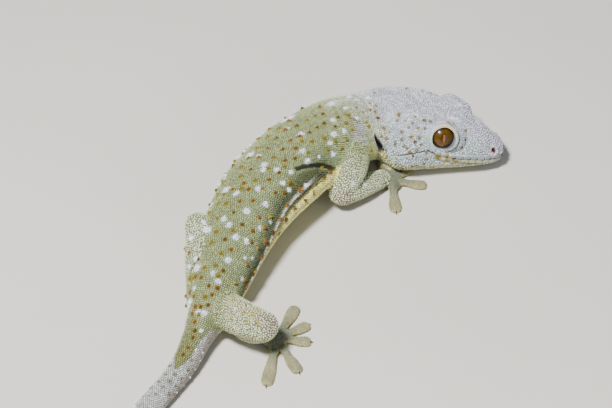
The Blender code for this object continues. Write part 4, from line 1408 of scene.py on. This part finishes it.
def colour_face(spots, colour):
    """The lids, nostrils, ears and the line of the mouth, with painted shade along the mouth's line, in the
    lid's groove, on the lid's inner edge and in the pits of nostrils and ears, and painted light on the ears'
    far walls.
    """
    # painted shade along the line between the lips
    colour = mix(colour, MOUTH_SHADE, lip_line(spots) * COVER["lips"])
    for side in (1, -1):
        ring, height, turn = eye_parts(spots.points, side)
        turn = np.degrees(turn)
        edge = lid_edge(turn, side)
        lid = (1 - smooth(edge + LID_FADE[0], edge + LID_FADE[1], ring)) * (height > 0)
        colour = mix(colour, read_ramp(turn, LID_TINTS), lid * LID_COVER[side])
        # painted shade along the lid's inner edge, where it meets the eye
        inner = (1 - smooth(*LID_INNER_END, ring)) * (height > 0)
        colour = mix(colour, SOCKET_SHADE, inner * np.interp(turn, *LID_INNER))
        # painted shade in the groove about the lid
        colour = mix(colour, LID_GROOVE_SHADE, lid_groove(turn, ring, height, GROOVE_SHADE_SPAN) * COVER["groove"])
        gap = nostril_gap(spots.points, side)
        colour = mix(colour, NOSTRIL_RIM, (1 - smooth(*RIM_END, gap)) * COVER["rim"])
        # painted shade in the nostril's pit
        colour = mix(colour, NOSTRIL_SHADE, 1 - smooth(*PIT_END, gap))
    for across, lengthwise in ear_parts(spots):
        # the ear's pit is painted dark as painted shade, lighter towards its far wall as painted light
        inside = (1 - smooth(0.75, 1.1, np.abs(across))) * (np.abs(lengthwise) < 1.0)
        colour = mix(colour, mix(EAR_PIT_SHADE, EAR_LIT_WALL, smooth(0.1, 0.8, across)), inside)
    return colour


# Scales


class Form:
    """One small closed shape that is set on the skin many times."""

    def __init__(self, rings, sides, painted_light, tip_back=0.12, square=2.0, marked=None, painted_back_shade=0.0):
        """Rings are pairs of radius and height, from the sunk root up to the tip. Each ring's brightness is
        painted
        light: painted shade at the sunk root and a painted highlight at the tip.

        Square is the power of the outline, marked is how much each ring takes the mark's colour, and the last
        argument how much darker the back of a mark is than its front, as painted shade."""
        turn = np.linspace(0, math.tau, sides, endpoint=False)
        across = np.sign(np.cos(turn)) * np.abs(np.cos(turn)) ** (2 / square)
        along = np.sign(np.sin(turn)) * np.abs(np.sin(turn)) ** (2 / square)
        points = [
            np.column_stack([radius * across, radius * along, np.full(sides, height)])
            for radius, height in rings[:-1]]
        self.points = np.vstack([*points, [[tip_back, 0.0, rings[-1][1]]]])
        self.painted_light = self.by_point(painted_light, sides)
        self.marked = self.by_point(marked or [0.0] * len(rings), sides)
        # the back of a marked form is darkened as painted shade
        self.painted_light *= 1 - painted_back_shade * self.marked * np.clip(self.points[:, 0] * 1.6, -1, 1)
        faces = []
        for k in range(len(rings) - 2):
            for i in range(sides):
                a = k * sides + i
                b = k * sides + (i + 1) % sides
                faces += [(a, b, b + sides), (a, b + sides, a + sides)]
        top = (len(rings) - 2) * sides
        tip = len(self.points) - 1
        faces += [(top + i, top + (i + 1) % sides, tip) for i in range(sides)]
        faces += [(0, i + 1, i) for i in range(1, sides - 1)]
        self.faces = np.array(faces)

    @staticmethod
    def by_point(values, sides):
        return np.concatenate([np.full(sides, value) for value in values[:-1]] + [[values[-1]]])


# Each form's brightness by ring is painted light: a dark sunk root as painted shade and a light tip as a
# painted highlight
GRANULE = Form([(1.0, -0.55), (0.76, 0.45), (0.0, 1.0)], 6, [0.15, 0.82, 1.25])
PAD = Form([(1.0, -0.55), (0.82, 0.5), (0.0, 1.0)], 6, [0.7, 0.94, 1.1])
PLATE = Form([(1.0, -0.5), (0.95, 0.55), (0.7, 0.92), (0.0, 1.0)], 12, [0.4, 0.9, 1.04, 1.06], 0.0, 4.0)
CONE = Form(
    [(1.0, -0.4), (0.86, 0.08), (0.62, 0.38), (0.38, 0.72), (0.18, 0.94), (0.0, 1.0)], 12,
    [0.4, 0.85, 0.85, 0.9, 1.05, 1.1], 0.2, 2.0, [0.0, 0.1, 0.85, 1.0, 1.0, 1.0], 0.45)


def unwrap(spots):
    """A place for each root on an unwrap of the skin's own shape."""
    trunk = spots.on("trunk")
    low = spots.points.min(axis=0)
    part = (spots.points - low) / np.maximum(spots.points.max(axis=0) - low, 1.0)
    u = np.where(trunk, (spots.along - TRUNK.start) / (TRUNK.end - TRUNK.start), part[:, 0])
    v = np.where(trunk, spots.angle / 360 + 0.5, part[:, 1] * 0.5 + part[:, 2] * 0.5)
    if trunk.any():
        for values in (u, v):
            first = values[trunk].min()
            values[trunk] = (values[trunk] - first) / max(values[trunk].max() - first, 1e-6)
    return np.column_stack([u, v]) * (1 - 2 * CHART_EDGE) + CHART_EDGE


# The unwrap's margin, and the size of one scale on it
CHART_EDGE = 0.005
CHART_SCALE = 0.0015


def set_forms(name, form, roots, normals, lies, sizes, tints, chart, marks=None):
    """A mesh of many copies of a form: x along the lie, z along the normal, sized x, y and z.

    Marks are the colours that the form's marked rings take in place of the tints."""
    lies = unit(lies - normals * np.sum(lies * normals, axis=1, keepdims=True))
    aside = np.cross(normals, lies)
    count = len(roots)
    points = (roots[:, None]
              + lies[:, None] * (form.points[:, 0] * sizes[:, :1])[..., None]
              + aside[:, None] * (form.points[:, 1] * sizes[:, 1:2])[..., None]
              + normals[:, None] * (form.points[:, 2] * sizes[:, 2:])[..., None])
    size = len(form.points)
    faces = (form.faces[None] + np.arange(count)[:, None, None] * size).reshape(-1, 3)
    flat = points.reshape(-1, 3)
    flat[:, 2] = np.maximum(flat[:, 2], 0.0)
    piece = mesh_piece(name, flat, faces)
    colours = np.repeat(tints[:, None], size, axis=1)
    if marks is not None:
        colours = mix(colours, marks[:, None], form.marked[None])
    paint(piece, (colours * form.painted_light[:, None]).reshape(-1, 3))
    layer = piece.data.uv_layers.new(name="OFBake")
    spread = chart[:, None] + form.points[:, :2] * CHART_SCALE
    layer.data.foreach_set("uv", spread.reshape(-1, 2)[faces.ravel()].astype(np.float32).ravel())
    return piece


# Where the head's granules end and the trunk's rows begin, and how far they overlap
HEAD_END = 50.0
HEAD_OVERLAP = 0.6
# The trunk's scales: from ring to ring, from one to the next in a ring, then half length, half width, height
TRUNK_PITCH = 0.62
TRUNK_WIDTH = 0.78
TRUNK_SCALE = (0.29, 0.36, 0.38)
# How unevenly they stand, as parts of the width and of the pitch, and how their size varies
TRUNK_STRAY = (0.12, 0.1)
TRUNK_SPREAD = (0.9, 1.1)
# The first ring of each piece of the trunk's coat
TRUNK_PIECES = {
    "scales_shoulders": 0, "scales_chest": 52, "scales_belly": 89, "scales_pelvis": 132, "scales_tail": 185}
# How far the skin may be from the trunk's own shape where rows of scales grow, and the least height
SKIN_GAP = 0.95
LEAST_HEIGHT = 0.12


def evenly(first, last, draw):
    """Places in rings along the trunk, each ring turned half a place from the next."""
    along = []
    angle = []
    fine = np.linspace(-180, 180, 241)
    for k, at in enumerate(np.arange(first, last - TRUNK_PITCH / 2, TRUNK_PITCH)):
        ring = TRUNK.point(np.full(len(fine), at), fine)
        arc = np.concatenate([[0.0], np.cumsum(np.linalg.norm(np.diff(ring, axis=0), axis=1))])
        count = max(int(arc[-1] / TRUNK_WIDTH), 6)
        stray = draw.uniform(-TRUNK_STRAY[0], TRUNK_STRAY[0], count)
        places = (np.arange(count) + 0.5 * (k % 2) + stray) * arc[-1] / count
        angle.append(np.interp(places % arc[-1], arc, fine))
        along.append(np.full(count, at) + draw.uniform(-TRUNK_STRAY[1], TRUNK_STRAY[1], count) * TRUNK_PITCH)
    return np.concatenate(along), np.concatenate(angle)


def clear_of_cones(places, marks):
    """Which of the places no cone stands on."""
    free = np.ones(len(places), dtype=bool)
    roots = [(place, CONE_ROOT * size) for place, _, _, size in marks.cones]
    for _, rows, part in near_marks(places, roots, CONE_ROOT_SOFT):
        free[rows[part > 0.5]] = False
    return free


def grow_trunk(tree, marks, draw):
    """Small scales in rings round the trunk and the tail: roots, normals, lies and sizes by piece."""
    crops = {}
    last_ring = int((TRUNK.end - HEAD_END - 1) / TRUNK_PITCH)
    ends = HEAD_END + TRUNK_PITCH * np.array([*TRUNK_PIECES.values(), last_ring])
    for name, first, last in zip(TRUNK_PIECES, ends, ends[1:]):
        along, angle = evenly(first, last, draw)
        places, normals, gaps = on_skin(tree, TRUNK.point(along, angle, -COAT_DEPTH))
        keep = (gaps < SKIN_GAP) & (places[:, 2] > LEAST_HEIGHT) & clear_of_cones(places, marks)
        size = draw.uniform(*TRUNK_SPREAD, keep.sum())
        sizes = np.column_stack([half * size for half in TRUNK_SCALE])
        crops[name] = (places[keep], normals[keep], -TRUNK.read(TRUNK.forward, along[keep]), sizes)
    return crops


def apart(points, reach):
    """A scatter of the points, none closer to another than its reach. Returns their rows."""
    taken = {}
    kept = []
    cells = np.floor(points / MOST_REACH).astype(int).tolist()
    steps = [(i, j, k) for i in (-1, 0, 1) for j in (-1, 0, 1) for k in (-1, 0, 1)]
    for row, ((x, y, z), (px, py, pz), least) in enumerate(zip(cells, points.tolist(), reach.tolist())):
        near = (other for i, j, k in steps for other in taken.get((x + i, y + j, z + k), ()))
        if all((px - qx) ** 2 + (py - qy) ** 2 + (pz - qz) ** 2 >= least**2 for qx, qy, qz in near):
            taken.setdefault((x, y, z), []).append((px, py, pz))
            kept.append(row)
    return np.array(kept)


def face_corners(data):
    """The four corners of each face, as rows of points. A triangle's last one comes twice."""
    starts = read_values(data.polygons, "loop_start", kind=np.int32)
    totals = read_values(data.polygons, "loop_total", kind=np.int32)
    corners = read_values(data.loops, "vertex_index", kind=np.int32)
    return [corners[starts + np.minimum(k, totals - 1)] for k in range(4)]


def candidates(data, chosen, density, draw):
    """Random places on the faces whose first corner is chosen, so many to a square millimetre."""
    corners = face_corners(data)
    areas = read_values(data.polygons, "area", kind=float) / (MM * MM)
    rows = np.flatnonzero(chosen[corners[0]])
    rows = np.repeat(rows, draw.poisson(areas[rows] * density))
    points = read_points(data)
    normals = read_normals(data)
    u, v = draw.uniform(size=(2, len(rows), 1))
    weights = ((1 - u) * (1 - v), u * (1 - v), u * v, (1 - u) * v)
    places = sum(points[corner[rows]] * weight for corner, weight in zip(corners, weights))
    facing = unit(sum(normals[corner[rows]] * weight for corner, weight in zip(corners, weights)))
    order = draw.permutation(len(rows))
    return places[order], facing[order]


def along_body(spots):
    """Which way the scales lie: back along the trunk, and out along the limbs and toes."""
    lies = -TRUNK.read(TRUNK.forward, spots.along)
    for number, points in enumerate(LIMBS.values()):
        path = np.array(points)[:, :3]
        lies[spots.on(*LIMB_KINDS) & (spots.part == number)] = unit(path[-1] - path[0])
    for number, (wrist, palm, _, tips) in enumerate(HANDS.values()):
        lies[spots.on("palm") & (spots.part == number)] = unit(np.array(palm) - np.array(wrist))
        for k, tip in enumerate(tips):
            on = spots.on("toe") & (spots.part == number * len(tips) + k)
            lies[on] = unit(on_floor(tip) - on_floor(palm))
    return lies


# How far past the lids, the ears and the lips' plates the granules start, and how wide the lid's groove is
LID_BARE = 0.1
EAR_BARE = (1.25, 1.06)
LIP_BARE = 0.42
GROOVE_BARE = (0.2, 0.35)


def bare(spots):
    """Where no granule grows: eyes, lids, ears, nostrils, the lips and what lies on the floor."""
    hide = spots.points[:, 2] < LEAST_HEIGHT
    for side in (1, -1):
        ring, height, turn = eye_parts(spots.points, side)
        turn = np.degrees(turn)
        groove = (np.abs(ring - LID_GROOVE_AT) < GROOVE_BARE[0]) & (lid_front(turn) > GROOVE_BARE[1])
        hide |= ((ring < lid_edge(turn, side) + LID_BARE) | groove) & (height > -1.0)
        hide |= nostril_gap(spots.points, side) < RIM_RADIUS
    for across, lengthwise in ear_parts(spots):
        hide |= (np.abs(across) < EAR_BARE[0]) & (np.abs(lengthwise) < EAR_BARE[1])
    gap = np.abs(spots.up - mouth_height(spots.back))
    head = spots.on("trunk") & (spots.back < MOUTH[-1, 0])
    hide |= (gap < np.where(spots.back < LIP_END, lip_height(spots.back), 0.0) + LIP_BARE) & head
    return hide


# Granules: the space of each, the most of it, what it grows by on the snout, low on the head, by the lips
# and in cells, how much less it is about the eyes, what it grows by at elbow and knee, and the space on
# hands and feet
REACH = 0.54
MOST_REACH = 1.1
SNOUT_REACH = 0.12
LOW_REACH = 0.12
LIP_REACH = 0.16
CELL_REACH = 0.07
EYE_REACH = 0.2
BEND_REACH = 0.12
HAND_REACH = 0.52
# Their pieces: the kinds of place, candidates to a square millimetre, and size against the space
GRANULES = {
    "scales_head": (("trunk",), 24, 1.1), "scales_limbs": (LIMB_KINDS, 30, 0.92),
    "scales_hands": (HAND_KINDS, 34, 1.0)}
GRANULE_SPREAD = (0.54, 0.63)
# How high a scale of the toes and any other is against its width
TOE_HEIGHT = 0.45
GRANULE_HEIGHT = 0.8


def granule_reach(spots):
    """How far apart the granules are: small about the eyes and on the toes, large on the snout."""
    reach = np.full(len(spots.points), REACH)
    head = spots.on("trunk")
    reach += SNOUT_REACH * smooth(18, 8, spots.back) * head
    reach += LOW_REACH * smooth(50, 90, np.abs(spots.angle)) * head
    gap = np.abs(spots.up - mouth_height(spots.back))
    reach += LIP_REACH * smooth(3.4, 1.6, gap) * (spots.back < LIP_END) * head
    reach += CELL_REACH * Cells(31, 3.0)(spots.points)
    for side in (1, -1):
        ring, height, _ = eye_parts(spots.points, side)
        reach -= EYE_REACH * (1 - smooth(5.2, 7.0, ring)) * (height > -3)
    bend = np.where(spots.on("upper_limb"), spots.value, 1 - spots.value)
    reach = np.where(spots.on(*LIMB_KINDS), REACH + BEND_REACH * smooth(0.4, 1.0, bend), reach)
    return np.where(spots.on(*HAND_KINDS), HAND_REACH, reach)


def grow_granules(skin, spots, marks, draw):
    """Granules close over the head, the limbs, the hands and the feet: as the trunk's, by piece."""
    crops = {}
    for name, (kinds, density, part) in GRANULES.items():
        chosen = spots.on(*kinds)
        if name == "scales_head":
            chosen &= spots.along < HEAD_END + HEAD_OVERLAP
        places, normals = candidates(skin.data, chosen, density, draw)
        found = PLACES.find(places)
        reach = granule_reach(found)
        rows = apart(places, reach)
        rows = rows[~bare(found)[rows]]
        rows = rows[clear_of_cones(places[rows], marks)]
        size = reach[rows] * draw.uniform(*GRANULE_SPREAD, len(rows)) * part
        height = size * np.where(found.on("toe")[rows], TOE_HEIGHT, GRANULE_HEIGHT)
        sizes = np.column_stack([size, size, height])
        crops[name] = (places[rows], normals[rows], along_body(found)[rows], sizes)
    return crops


# How much lighter or darker one scale is than the next, partly its own tone and partly painted highlights and
# shade, and how its hue varies
SCALE_TINTS = (0.7, 1.26)
SCALE_HUES = (0.97, 1.03)


def grow_scales(skin, spots, tree, marks):
    """The small scales of the whole body, piece by piece, from the tail to the head."""
    draw = np.random.default_rng(17)
    crops = grow_trunk(tree, marks, draw)
    crops.update(grow_granules(skin, spots, marks, draw))
    made = []
    for name, crop in crops.items():
        order = np.argsort(crop[0][:, 1] + 0.3 * crop[0][:, 0])
        roots, normals, lies, sizes = (column[order] for column in crop)
        found = PLACES.find(roots)
        tints = skin_tint(found, normals, marks)
        # each scale lighter or darker at random: its own tone, with painted highlights and shade
        tints *= draw.uniform(*SCALE_TINTS, (len(roots), 1)) * draw.uniform(*SCALE_HUES, (len(roots), 3))
        form = PAD if name == "scales_hands" else GRANULE
        made.append(set_forms(name, form, roots, normals, lies, sizes, tints, unwrap(found)))
    return made


# A cone's half length, half width and height, and its clear root as a part of its size
CONE_HALF = (1.12, 0.86, 1.05)
CONE_ROOT = 0.7
CONE_ROOT_SOFT = 0.05


def grow_cones(marks):
    """The cones of the back and of the tail."""
    roots, normals, names, size = (np.array(column) for column in zip(*marks.cones))
    found = PLACES.find(roots)
    sizes = size[:, None] * np.array(CONE_HALF)
    tints = skin_tint(found, normals, marks)
    colours = np.array([COLOURS[name] for name in names])
    return set_forms("cones", CONE, roots, normals, along_body(found), sizes, tints, unwrap(found), colours)


# The lips' plates: where they start and end behind the snout, and how much later the lower ones start
LIP_START = 1.6
LIP_END = 22.0
LOWER_START = 0.4
# Their length near the front and further back, where they get shorter at the back, and by how much
LIP_LENGTHS = ((2.0, 14.0), (2.0, 2.6))
LIP_SHORTER = (17, 22)
LIP_SHORTER_PART = 0.3
# Their half heights at the front and at the back, their thickness, and how far they are from the mouth's line
LIP_HALF_HEIGHTS = (0.72, 0.55)
LIP_THICK = 0.24
LIP_GAP = 0.1
# How much longer and higher a plate is than its place, so that plates touch
LIP_FILL = (1.12, 1.1)
# Round the front of the snout the plates stand in an arc: its radius, turns, half size of a plate, how far
# a plate is above or below the line of the mouth, and how far behind the snout that line is read
LIP_ROUND = 5.2
LIP_TURNS = (-51, -34, -17, 0, 17, 34, 51)
LIP_FRONT = (0.88, 0.8)
LIP_FRONT_AT = 0.85
LIP_FRONT_BACK = 0.5
LIP_TONES = (0.92, 1.08)
LIP_FLECK = 0.95
# How far off the plates are looked for, at the sides and in front
LIP_FROM = (30.0, 15.0)


def lip_height(back):
    """Height of a lip's plates."""
    return 2 * np.interp(back, [LIP_START, LIP_END], LIP_HALF_HEIGHTS)


def lip_places():
    """Where each plate of the lips is looked for, which way, its half length and height, and its lip."""
    places = []
    for side in (1, -1):
        for way in (1, -1):
            back = LIP_START + (LOWER_START if way < 0 else 0.0)
            while back < LIP_END:
                length = np.interp(back, *LIP_LENGTHS) * (1 - LIP_SHORTER_PART * smooth(*LIP_SHORTER, back))
                middle = back + length / 2
                half = lip_height(middle) / 2
                start = head_point(middle, side * LIP_FROM[0], mouth_height(middle) + way * (LIP_GAP + half))
                places.append((start, -HEAD_RIGHT * side, length / 2 * LIP_FILL[0], half * LIP_FILL[1], way))
                back += length
    for way in (1, -1):
        for turn in np.radians(LIP_TURNS):
            toward = -HEAD_FORWARD * math.cos(turn) - HEAD_RIGHT * math.sin(turn)
            back = LIP_ROUND * (1 - math.cos(turn)) + LIP_FRONT_BACK
            middle = head_point(LIP_ROUND, 0.0, mouth_height(back) + way * LIP_FRONT_AT)
            places.append((middle - toward * LIP_FROM[1], toward, *LIP_FRONT, way))
    return places


def grow_lips(tree, marks):
    """A row of plates along each lip, on both sides and round the front."""
    draw = np.random.default_rng(29)
    rows = []
    for start, toward, half_length, half_height, way in lip_places():
        hit = cast(tree, start, toward)
        if hit:
            tint = (UPPER_LIP if way > 0 else LOWER_LIP) * draw.uniform(*LIP_TONES)
            rows.append((*hit, np.cross(HEAD_UP, toward), (half_length, half_height, LIP_THICK), tint))
    roots, normals, lies, sizes, tints = (np.array(column) for column in zip(*rows))
    lips = set_forms("lips", PLATE, roots, normals, lies, sizes, tints, unwrap(PLACES.find(roots)))
    colours = read_tints(lips)
    flecks = [(place, name, LIP_FLECK) for place, name, _ in marks.flecks]
    for (_, name, _), near, part in near_marks(read_points(lips.data), flecks):
        colours[near] = mix(colours[near], COLOURS[name], part)
    paint(lips, colours)
    return lips


# The plates about a nostril: how many, how far from its middle, how they lean out, and their half sizes
RIM_PLATES = 6
RIM_RADIUS = 1.5
RIM_LEAN = 0.2
RIM_SIZE = (0.34, 0.7, 0.17)


def grow_rims(tree):
    """Smooth pale plates about each nostril."""
    rows = []
    for side in (1, -1):
        middle = nostril_place(side)
        out = unit(middle - TRUNK.read(TRUNK.centre, np.array([NOSTRIL_AT[0]]))[0])
        ahead = unit(HEAD_FORWARD - out * np.dot(HEAD_FORWARD, out))
        for spoke in spokes(ahead, np.cross(out, ahead), around(RIM_PLATES)):
            lean = unit(out + spoke * RIM_LEAN)
            rows.append((middle + spoke * RIM_RADIUS, lean, spoke, RIM_SIZE, NOSTRIL_RIM))
    roots, normals, lies, sizes, tints = (np.array(column) for column in zip(*rows))
    places, _, _ = on_skin(tree, roots)
    return set_forms("nostril_rims", PLATE, places, normals, lies, sizes, tints, unwrap(PLACES.find(places)))


# The eyes and the claws

# The slit's half width and half height, its waves and its lean
SLIT_HALF = (0.5, 1.7)
SLIT_WAVES = (0.2, 4.6)
SLIT_TURN = math.radians(12)
# The iris: its streaks, where its two browns and its rim meet, and how far the slit's edge reaches
STREAK_CELLS = (51, 0.5)
STREAK_ROUND = 2.2
STREAK_OUT = 0.4
STREAKS = (0.5, 0.3)
IRIS_SPAN = (0.5, 2.4)
RIM_SPAN = (2.7, 3.5)
SLIT_FADE = 0.5
SLIT_EDGE_SPAN = 0.35


def iris_tint(points, side):
    """The eye's colour: a slit that stands upright in a brown iris, with painted shade on the ball behind it.
    """
    ring, height, turn = eye_parts(points, side)
    ahead = ring * np.cos(turn - SLIT_TURN)
    up = ring * np.sin(turn - SLIT_TURN)
    streaks = Cells(*STREAK_CELLS)(
        np.column_stack([STREAK_ROUND * np.cos(turn), STREAK_ROUND * np.sin(turn), STREAK_OUT * ring]))
    colour = mix(IRIS_INNER, IRIS_OUTER, smooth(*IRIS_SPAN, ring + STREAKS[0] * streaks))
    colour = colour * (1 + STREAKS[1] * streaks)[:, None]
    colour = mix(colour, IRIS_RIM, smooth(*RIM_SPAN, ring))
    reach = np.sqrt(np.clip(1 - (up / SLIT_HALF[1]) ** 2, 0.0, 1.0))
    away = np.abs(ahead) - SLIT_HALF[0] * (1 + SLIT_WAVES[0] * np.cos(up * SLIT_WAVES[1])) * reach
    beyond = 1 - smooth(SLIT_HALF[1], SLIT_HALF[1] + SLIT_FADE, np.abs(up))
    colour = mix(colour, SLIT_EDGE, bump(away, 0.0, SLIT_EDGE_SPAN) * beyond * 0.9)
    colour = mix(colour, SLIT, (1 - smooth(-0.3, 0.05, away)) * (reach > 0.05))
    # painted shade on the back of the ball, under the lids
    return mix(colour, SOCKET_SHADE, (height < 0.5).astype(float))


def eyeball(side, name):
    """A ball with close rings in front, where the iris is."""
    look, ahead, upward = eye_axes(side)
    tilt = np.radians(np.concatenate([np.linspace(0.8, 58, 66), np.linspace(66, 172, 12)]))
    arms = spokes(ahead, upward, around(150))
    middle = eye_centre(side)
    rings = [middle + (look * math.cos(a) + arms * math.sin(a)) * EYE_RADIUS for a in tilt]
    points, triangles = loft_arrays(rings)
    points[-2:] = middle + look * EYE_RADIUS, middle - look * EYE_RADIUS
    piece = mesh_piece(name, points, triangles)
    paint(piece, iris_tint(points, side))
    return piece


# Length of a claw, its radius at the root, how high it starts, how far it drops and how deep it is in the toe
CLAW_SIZE = (1.3, 0.26, 0.95)
CLAW_DROP = 0.72
CLAW_SUNK = 0.45
CLAW_TIP = 0.03


def claws():
    """A small hook at the end of each toe but the first."""
    parts = []
    length, radius, height = CLAW_SIZE
    at = np.linspace(0, 1, 9)
    for _, palm, _, tips in HANDS.values():
        for tip in tips[1:]:
            ahead = unit(on_floor(tip) - on_floor(palm))
            level = on_floor(tip) + ahead * (at[:, None] * length - CLAW_SUNK)
            radii = radius * (1 - at) ** 0.75 + CLAW_TIP
            parts.append(flat_loft(level + UP * (height - CLAW_DROP * at**2)[:, None], radii, radii, 10))
    points, triangles = joined(parts)
    piece = mesh_piece("claws", points, triangles)
    paint(piece, np.tile(CLAW, (len(points), 1)))
    return piece


# Finishes


class Finish:
    """A material whose nodes are added one by one."""

    def __init__(self, name):
        self.material = bpy.data.materials.new(name)
        self.material.use_nodes = True
        self.tree = self.material.node_tree
        self.inputs = self.tree.nodes["Principled BSDF"].inputs
        self.place = self.add("TexCoord")["Object"]

    def add(self, kind, values=None, links=None, **settings):
        """A new node's outputs. Values and links are by input, and a link is another node's output."""
        node = self.tree.nodes.new("ShaderNode" + kind)
        for name, value in settings.items():
            setattr(node, name, value)
        for name, value in (values or {}).items():
            node.inputs[name].default_value = value
        for name, output in (links or {}).items():
            self.tree.links.new(output, node.inputs[name])
        return node.outputs

    def link(self, output, name):
        self.tree.links.new(output, self.inputs[name])

    def set(self, values):
        for name, value in values.items():
            self.inputs[name].default_value = value

    def noise(self, scale, detail=2.0):
        return self.add("TexNoise", {"Scale": scale, "Detail": detail}, {"Vector": self.place})["Fac"]

    def spread(self, noise, low, high):
        return self.add("MapRange", {"To Min": low, "To Max": high}, {"Value": noise})["Result"]

    def tint(self, noise, low, high):
        """The mesh's own colours, lighter and darker with a noise."""
        own = self.add("Attribute", attribute_name="Tint")["Color"]
        shade = {0: own, "Scale": self.spread(noise, low, high)}
        self.link(self.add("VectorMath", None, shade, operation="SCALE")["Vector"], "Base Color")


def skin_finish(name, rough, bump_size, bump_depth):
    """Painted skin with fine mottling, and a grain in its roughness and relief."""
    finish = Finish(name)
    grain = finish.noise(900.0, 3.0)
    finish.tint(grain, 0.82, 1.18)
    finish.link(finish.spread(grain, rough - 0.1, rough + 0.1), "Roughness")
    cells = finish.add("TexVoronoi", {"Scale": bump_size}, {"Vector": finish.place})["Distance"]
    relief = finish.add("Bump", {"Distance": bump_depth, "Strength": 0.6}, {"Height": cells}, invert=True)
    finish.link(relief["Normal"], "Normal")
    finish.set({"Specular IOR Level": 0.4})
    return finish.material


def eye_finish():
    """A glossy eye, with a fine grain in the iris."""
    finish = Finish("gecko_eye")
    finish.tint(finish.noise(2600.0), 0.7, 1.3)
    finish.set({"Roughness": 0.3, "Specular IOR Level": 0.2, "Coat Weight": 0.5, "Coat Roughness": 0.08})
    return finish.material


def floor_finish():
    """A pale painted floor with a faint, soft mottling."""
    finish = Finish("floor")
    clouds = finish.noise(9.0, 5.0)
    tones = finish.add("ValToRGB", None, {"Fac": clouds})
    for stop, colour in zip(tones["Color"].node.color_ramp.elements, FLOOR_TONES):
        stop.color = (*colour, 1.0)
    finish.link(tones["Color"], "Base Color")
    finish.link(finish.spread(clouds, 0.55, 0.75), "Roughness")
    return finish.material


def dress(piece, material):
    piece.data.materials.clear()
    piece.data.materials.append(material)
    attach(piece, "root")


# The room: reach of the flat floor and how high and wide it curves up around, in millimetres
FLOOR_TONES = (srgb(206, 202, 196), srgb(216, 213, 208))
FLOOR_RINGS = (100.0, 600.0)
FLOOR_REACH = 1500.0
FLOOR_CURVE = 900.0
FLOOR_SIDES = 96
# The lamps: name, direction they shine from, distance and width in metres, watts, colour
LAMPS = [
    ("key", (-0.26, -0.36, 0.9), 0.95, 0.16, 19.0, (1.0, 0.985, 0.955)),
    ("fill", (0.55, -0.75, 0.3), 1.2, 0.9, 3.4, (0.94, 0.96, 1.0)),
]
SKY = (0.80, 0.86, 0.94)
SKY_LIGHT = 0.24


def make_floor():
    """A flat floor that curves up around, with no seam."""
    bend = np.radians(np.arange(0, 91, 10))
    reach = np.concatenate([FLOOR_RINGS, FLOOR_REACH + FLOOR_CURVE * np.sin(bend)])
    rise = np.concatenate([np.zeros(len(FLOOR_RINGS)), FLOOR_CURVE * (1 - np.cos(bend))])
    turn = around(FLOOR_SIDES)
    circle = np.column_stack([np.cos(turn), np.sin(turn), np.zeros(FLOOR_SIDES)])
    rings = [circle * radius + UP * height for radius, height in zip(reach, rise)]
    points, triangles = loft_arrays(rings)
    floor = mesh_piece("floor", points, triangles[:-FLOOR_SIDES])
    floor.data.materials.append(floor_finish())


def make_lamps():
    target = Vector(SHIFT * MM)
    for name, direction, distance, width, watts, colour in LAMPS:
        light = bpy.data.lights.new(name, "AREA")
        light.shape = "DISK"
        light.size = width
        light.energy = watts
        light.color = colour
        lamp = bpy.data.objects.new(name, light)
        way = Vector(direction).normalized()
        lamp.location = target + way * distance
        lamp.rotation_euler = way.to_track_quat("Z", "Y").to_euler()
        bpy.context.scene.collection.objects.link(lamp)
    world = bpy.data.worlds.new("studio")
    bpy.context.scene.world = world
    world.use_nodes = True
    backdrop = world.node_tree.nodes["Background"]
    backdrop.inputs["Color"].default_value = (*SKY, 1.0)
    backdrop.inputs["Strength"].default_value = SKY_LIGHT


def make_camera():
    lens = bpy.data.cameras.new("camera")
    lens.sensor_width = SENSOR
    lens.lens = SENSOR * VIEW_DISTANCE / (PIXEL * PHOTO[0])
    lens.clip_end = 10.0
    camera = bpy.data.objects.new("camera", lens)
    camera.location = Vector((SHIFT + eye_of_view()) * MM)
    camera.rotation_euler = (math.pi / 2 - VIEW_ELEVATION, 0, 0)
    bpy.context.scene.collection.objects.link(camera)
    bpy.context.scene.camera = camera


# How much of its colour the skin keeps where scales stand on it: the rest is painted shade between the scales
BETWEEN_SCALES = 0.26
BETWEEN_PADS = 0.75
BETWEEN_GRANULES = 0.46
BETWEEN_BEADS = 0.2
# The least that it keeps where it is white, and how light that is
WHITE_KEEPS = 0.85
WHITE_FROM = (0.72, 0.8)


def shade_between(spots, tints):
    """How much of its colour each point of the skin keeps: less between scales, as painted shade, nearly all
    where white.
    """
    on_head = spots.on("trunk") & (spots.along < HEAD_END)
    shade = np.select(
        [bare(spots), spots.on(*LIMB_KINDS), on_head, spots.on(*HAND_KINDS)],
        [1.0, BETWEEN_BEADS, BETWEEN_GRANULES, BETWEEN_PADS], BETWEEN_SCALES)
    return np.maximum(shade, WHITE_KEEPS * smooth(*WHITE_FROM, tints.min(axis=1)))


def make_gecko():
    """The skin, its coat, the eyes and the claws."""
    skin = make_skin()
    spots = shape_skin(skin)
    tree = BVHTree.FromObject(skin, bpy.context.evaluated_depsgraph_get())
    marks = Marks(tree)
    tints = skin_tint(spots, read_normals(skin.data), marks)
    # the skin between the scales is darkened as painted shade
    paint(skin, tints * shade_between(spots, tints)[:, None])
    dress(skin, skin_finish("gecko_skin", 0.55, 2200.0, 0.00005))
    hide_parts(*[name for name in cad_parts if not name.startswith("eye")])
    scale_look = skin_finish("gecko_scales", 0.5, 3000.0, 0.00002)
    coat = grow_scales(skin, spots, tree, marks)
    coat += [grow_cones(marks), grow_lips(tree, marks), grow_rims(tree)]
    for piece in coat:
        dress(piece, scale_look)
    eye_look = eye_finish()
    for side, name in ((1, "eye_right"), (-1, "eye_left")):
        eye = eyeball(side, name + "_iris")
        dress(eye, eye_look)
        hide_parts(name)
    dress(claws(), skin_finish("gecko_claws", 0.35, 900.0, 0.00002))


make_gecko()
make_floor()
make_lamps()
make_camera()
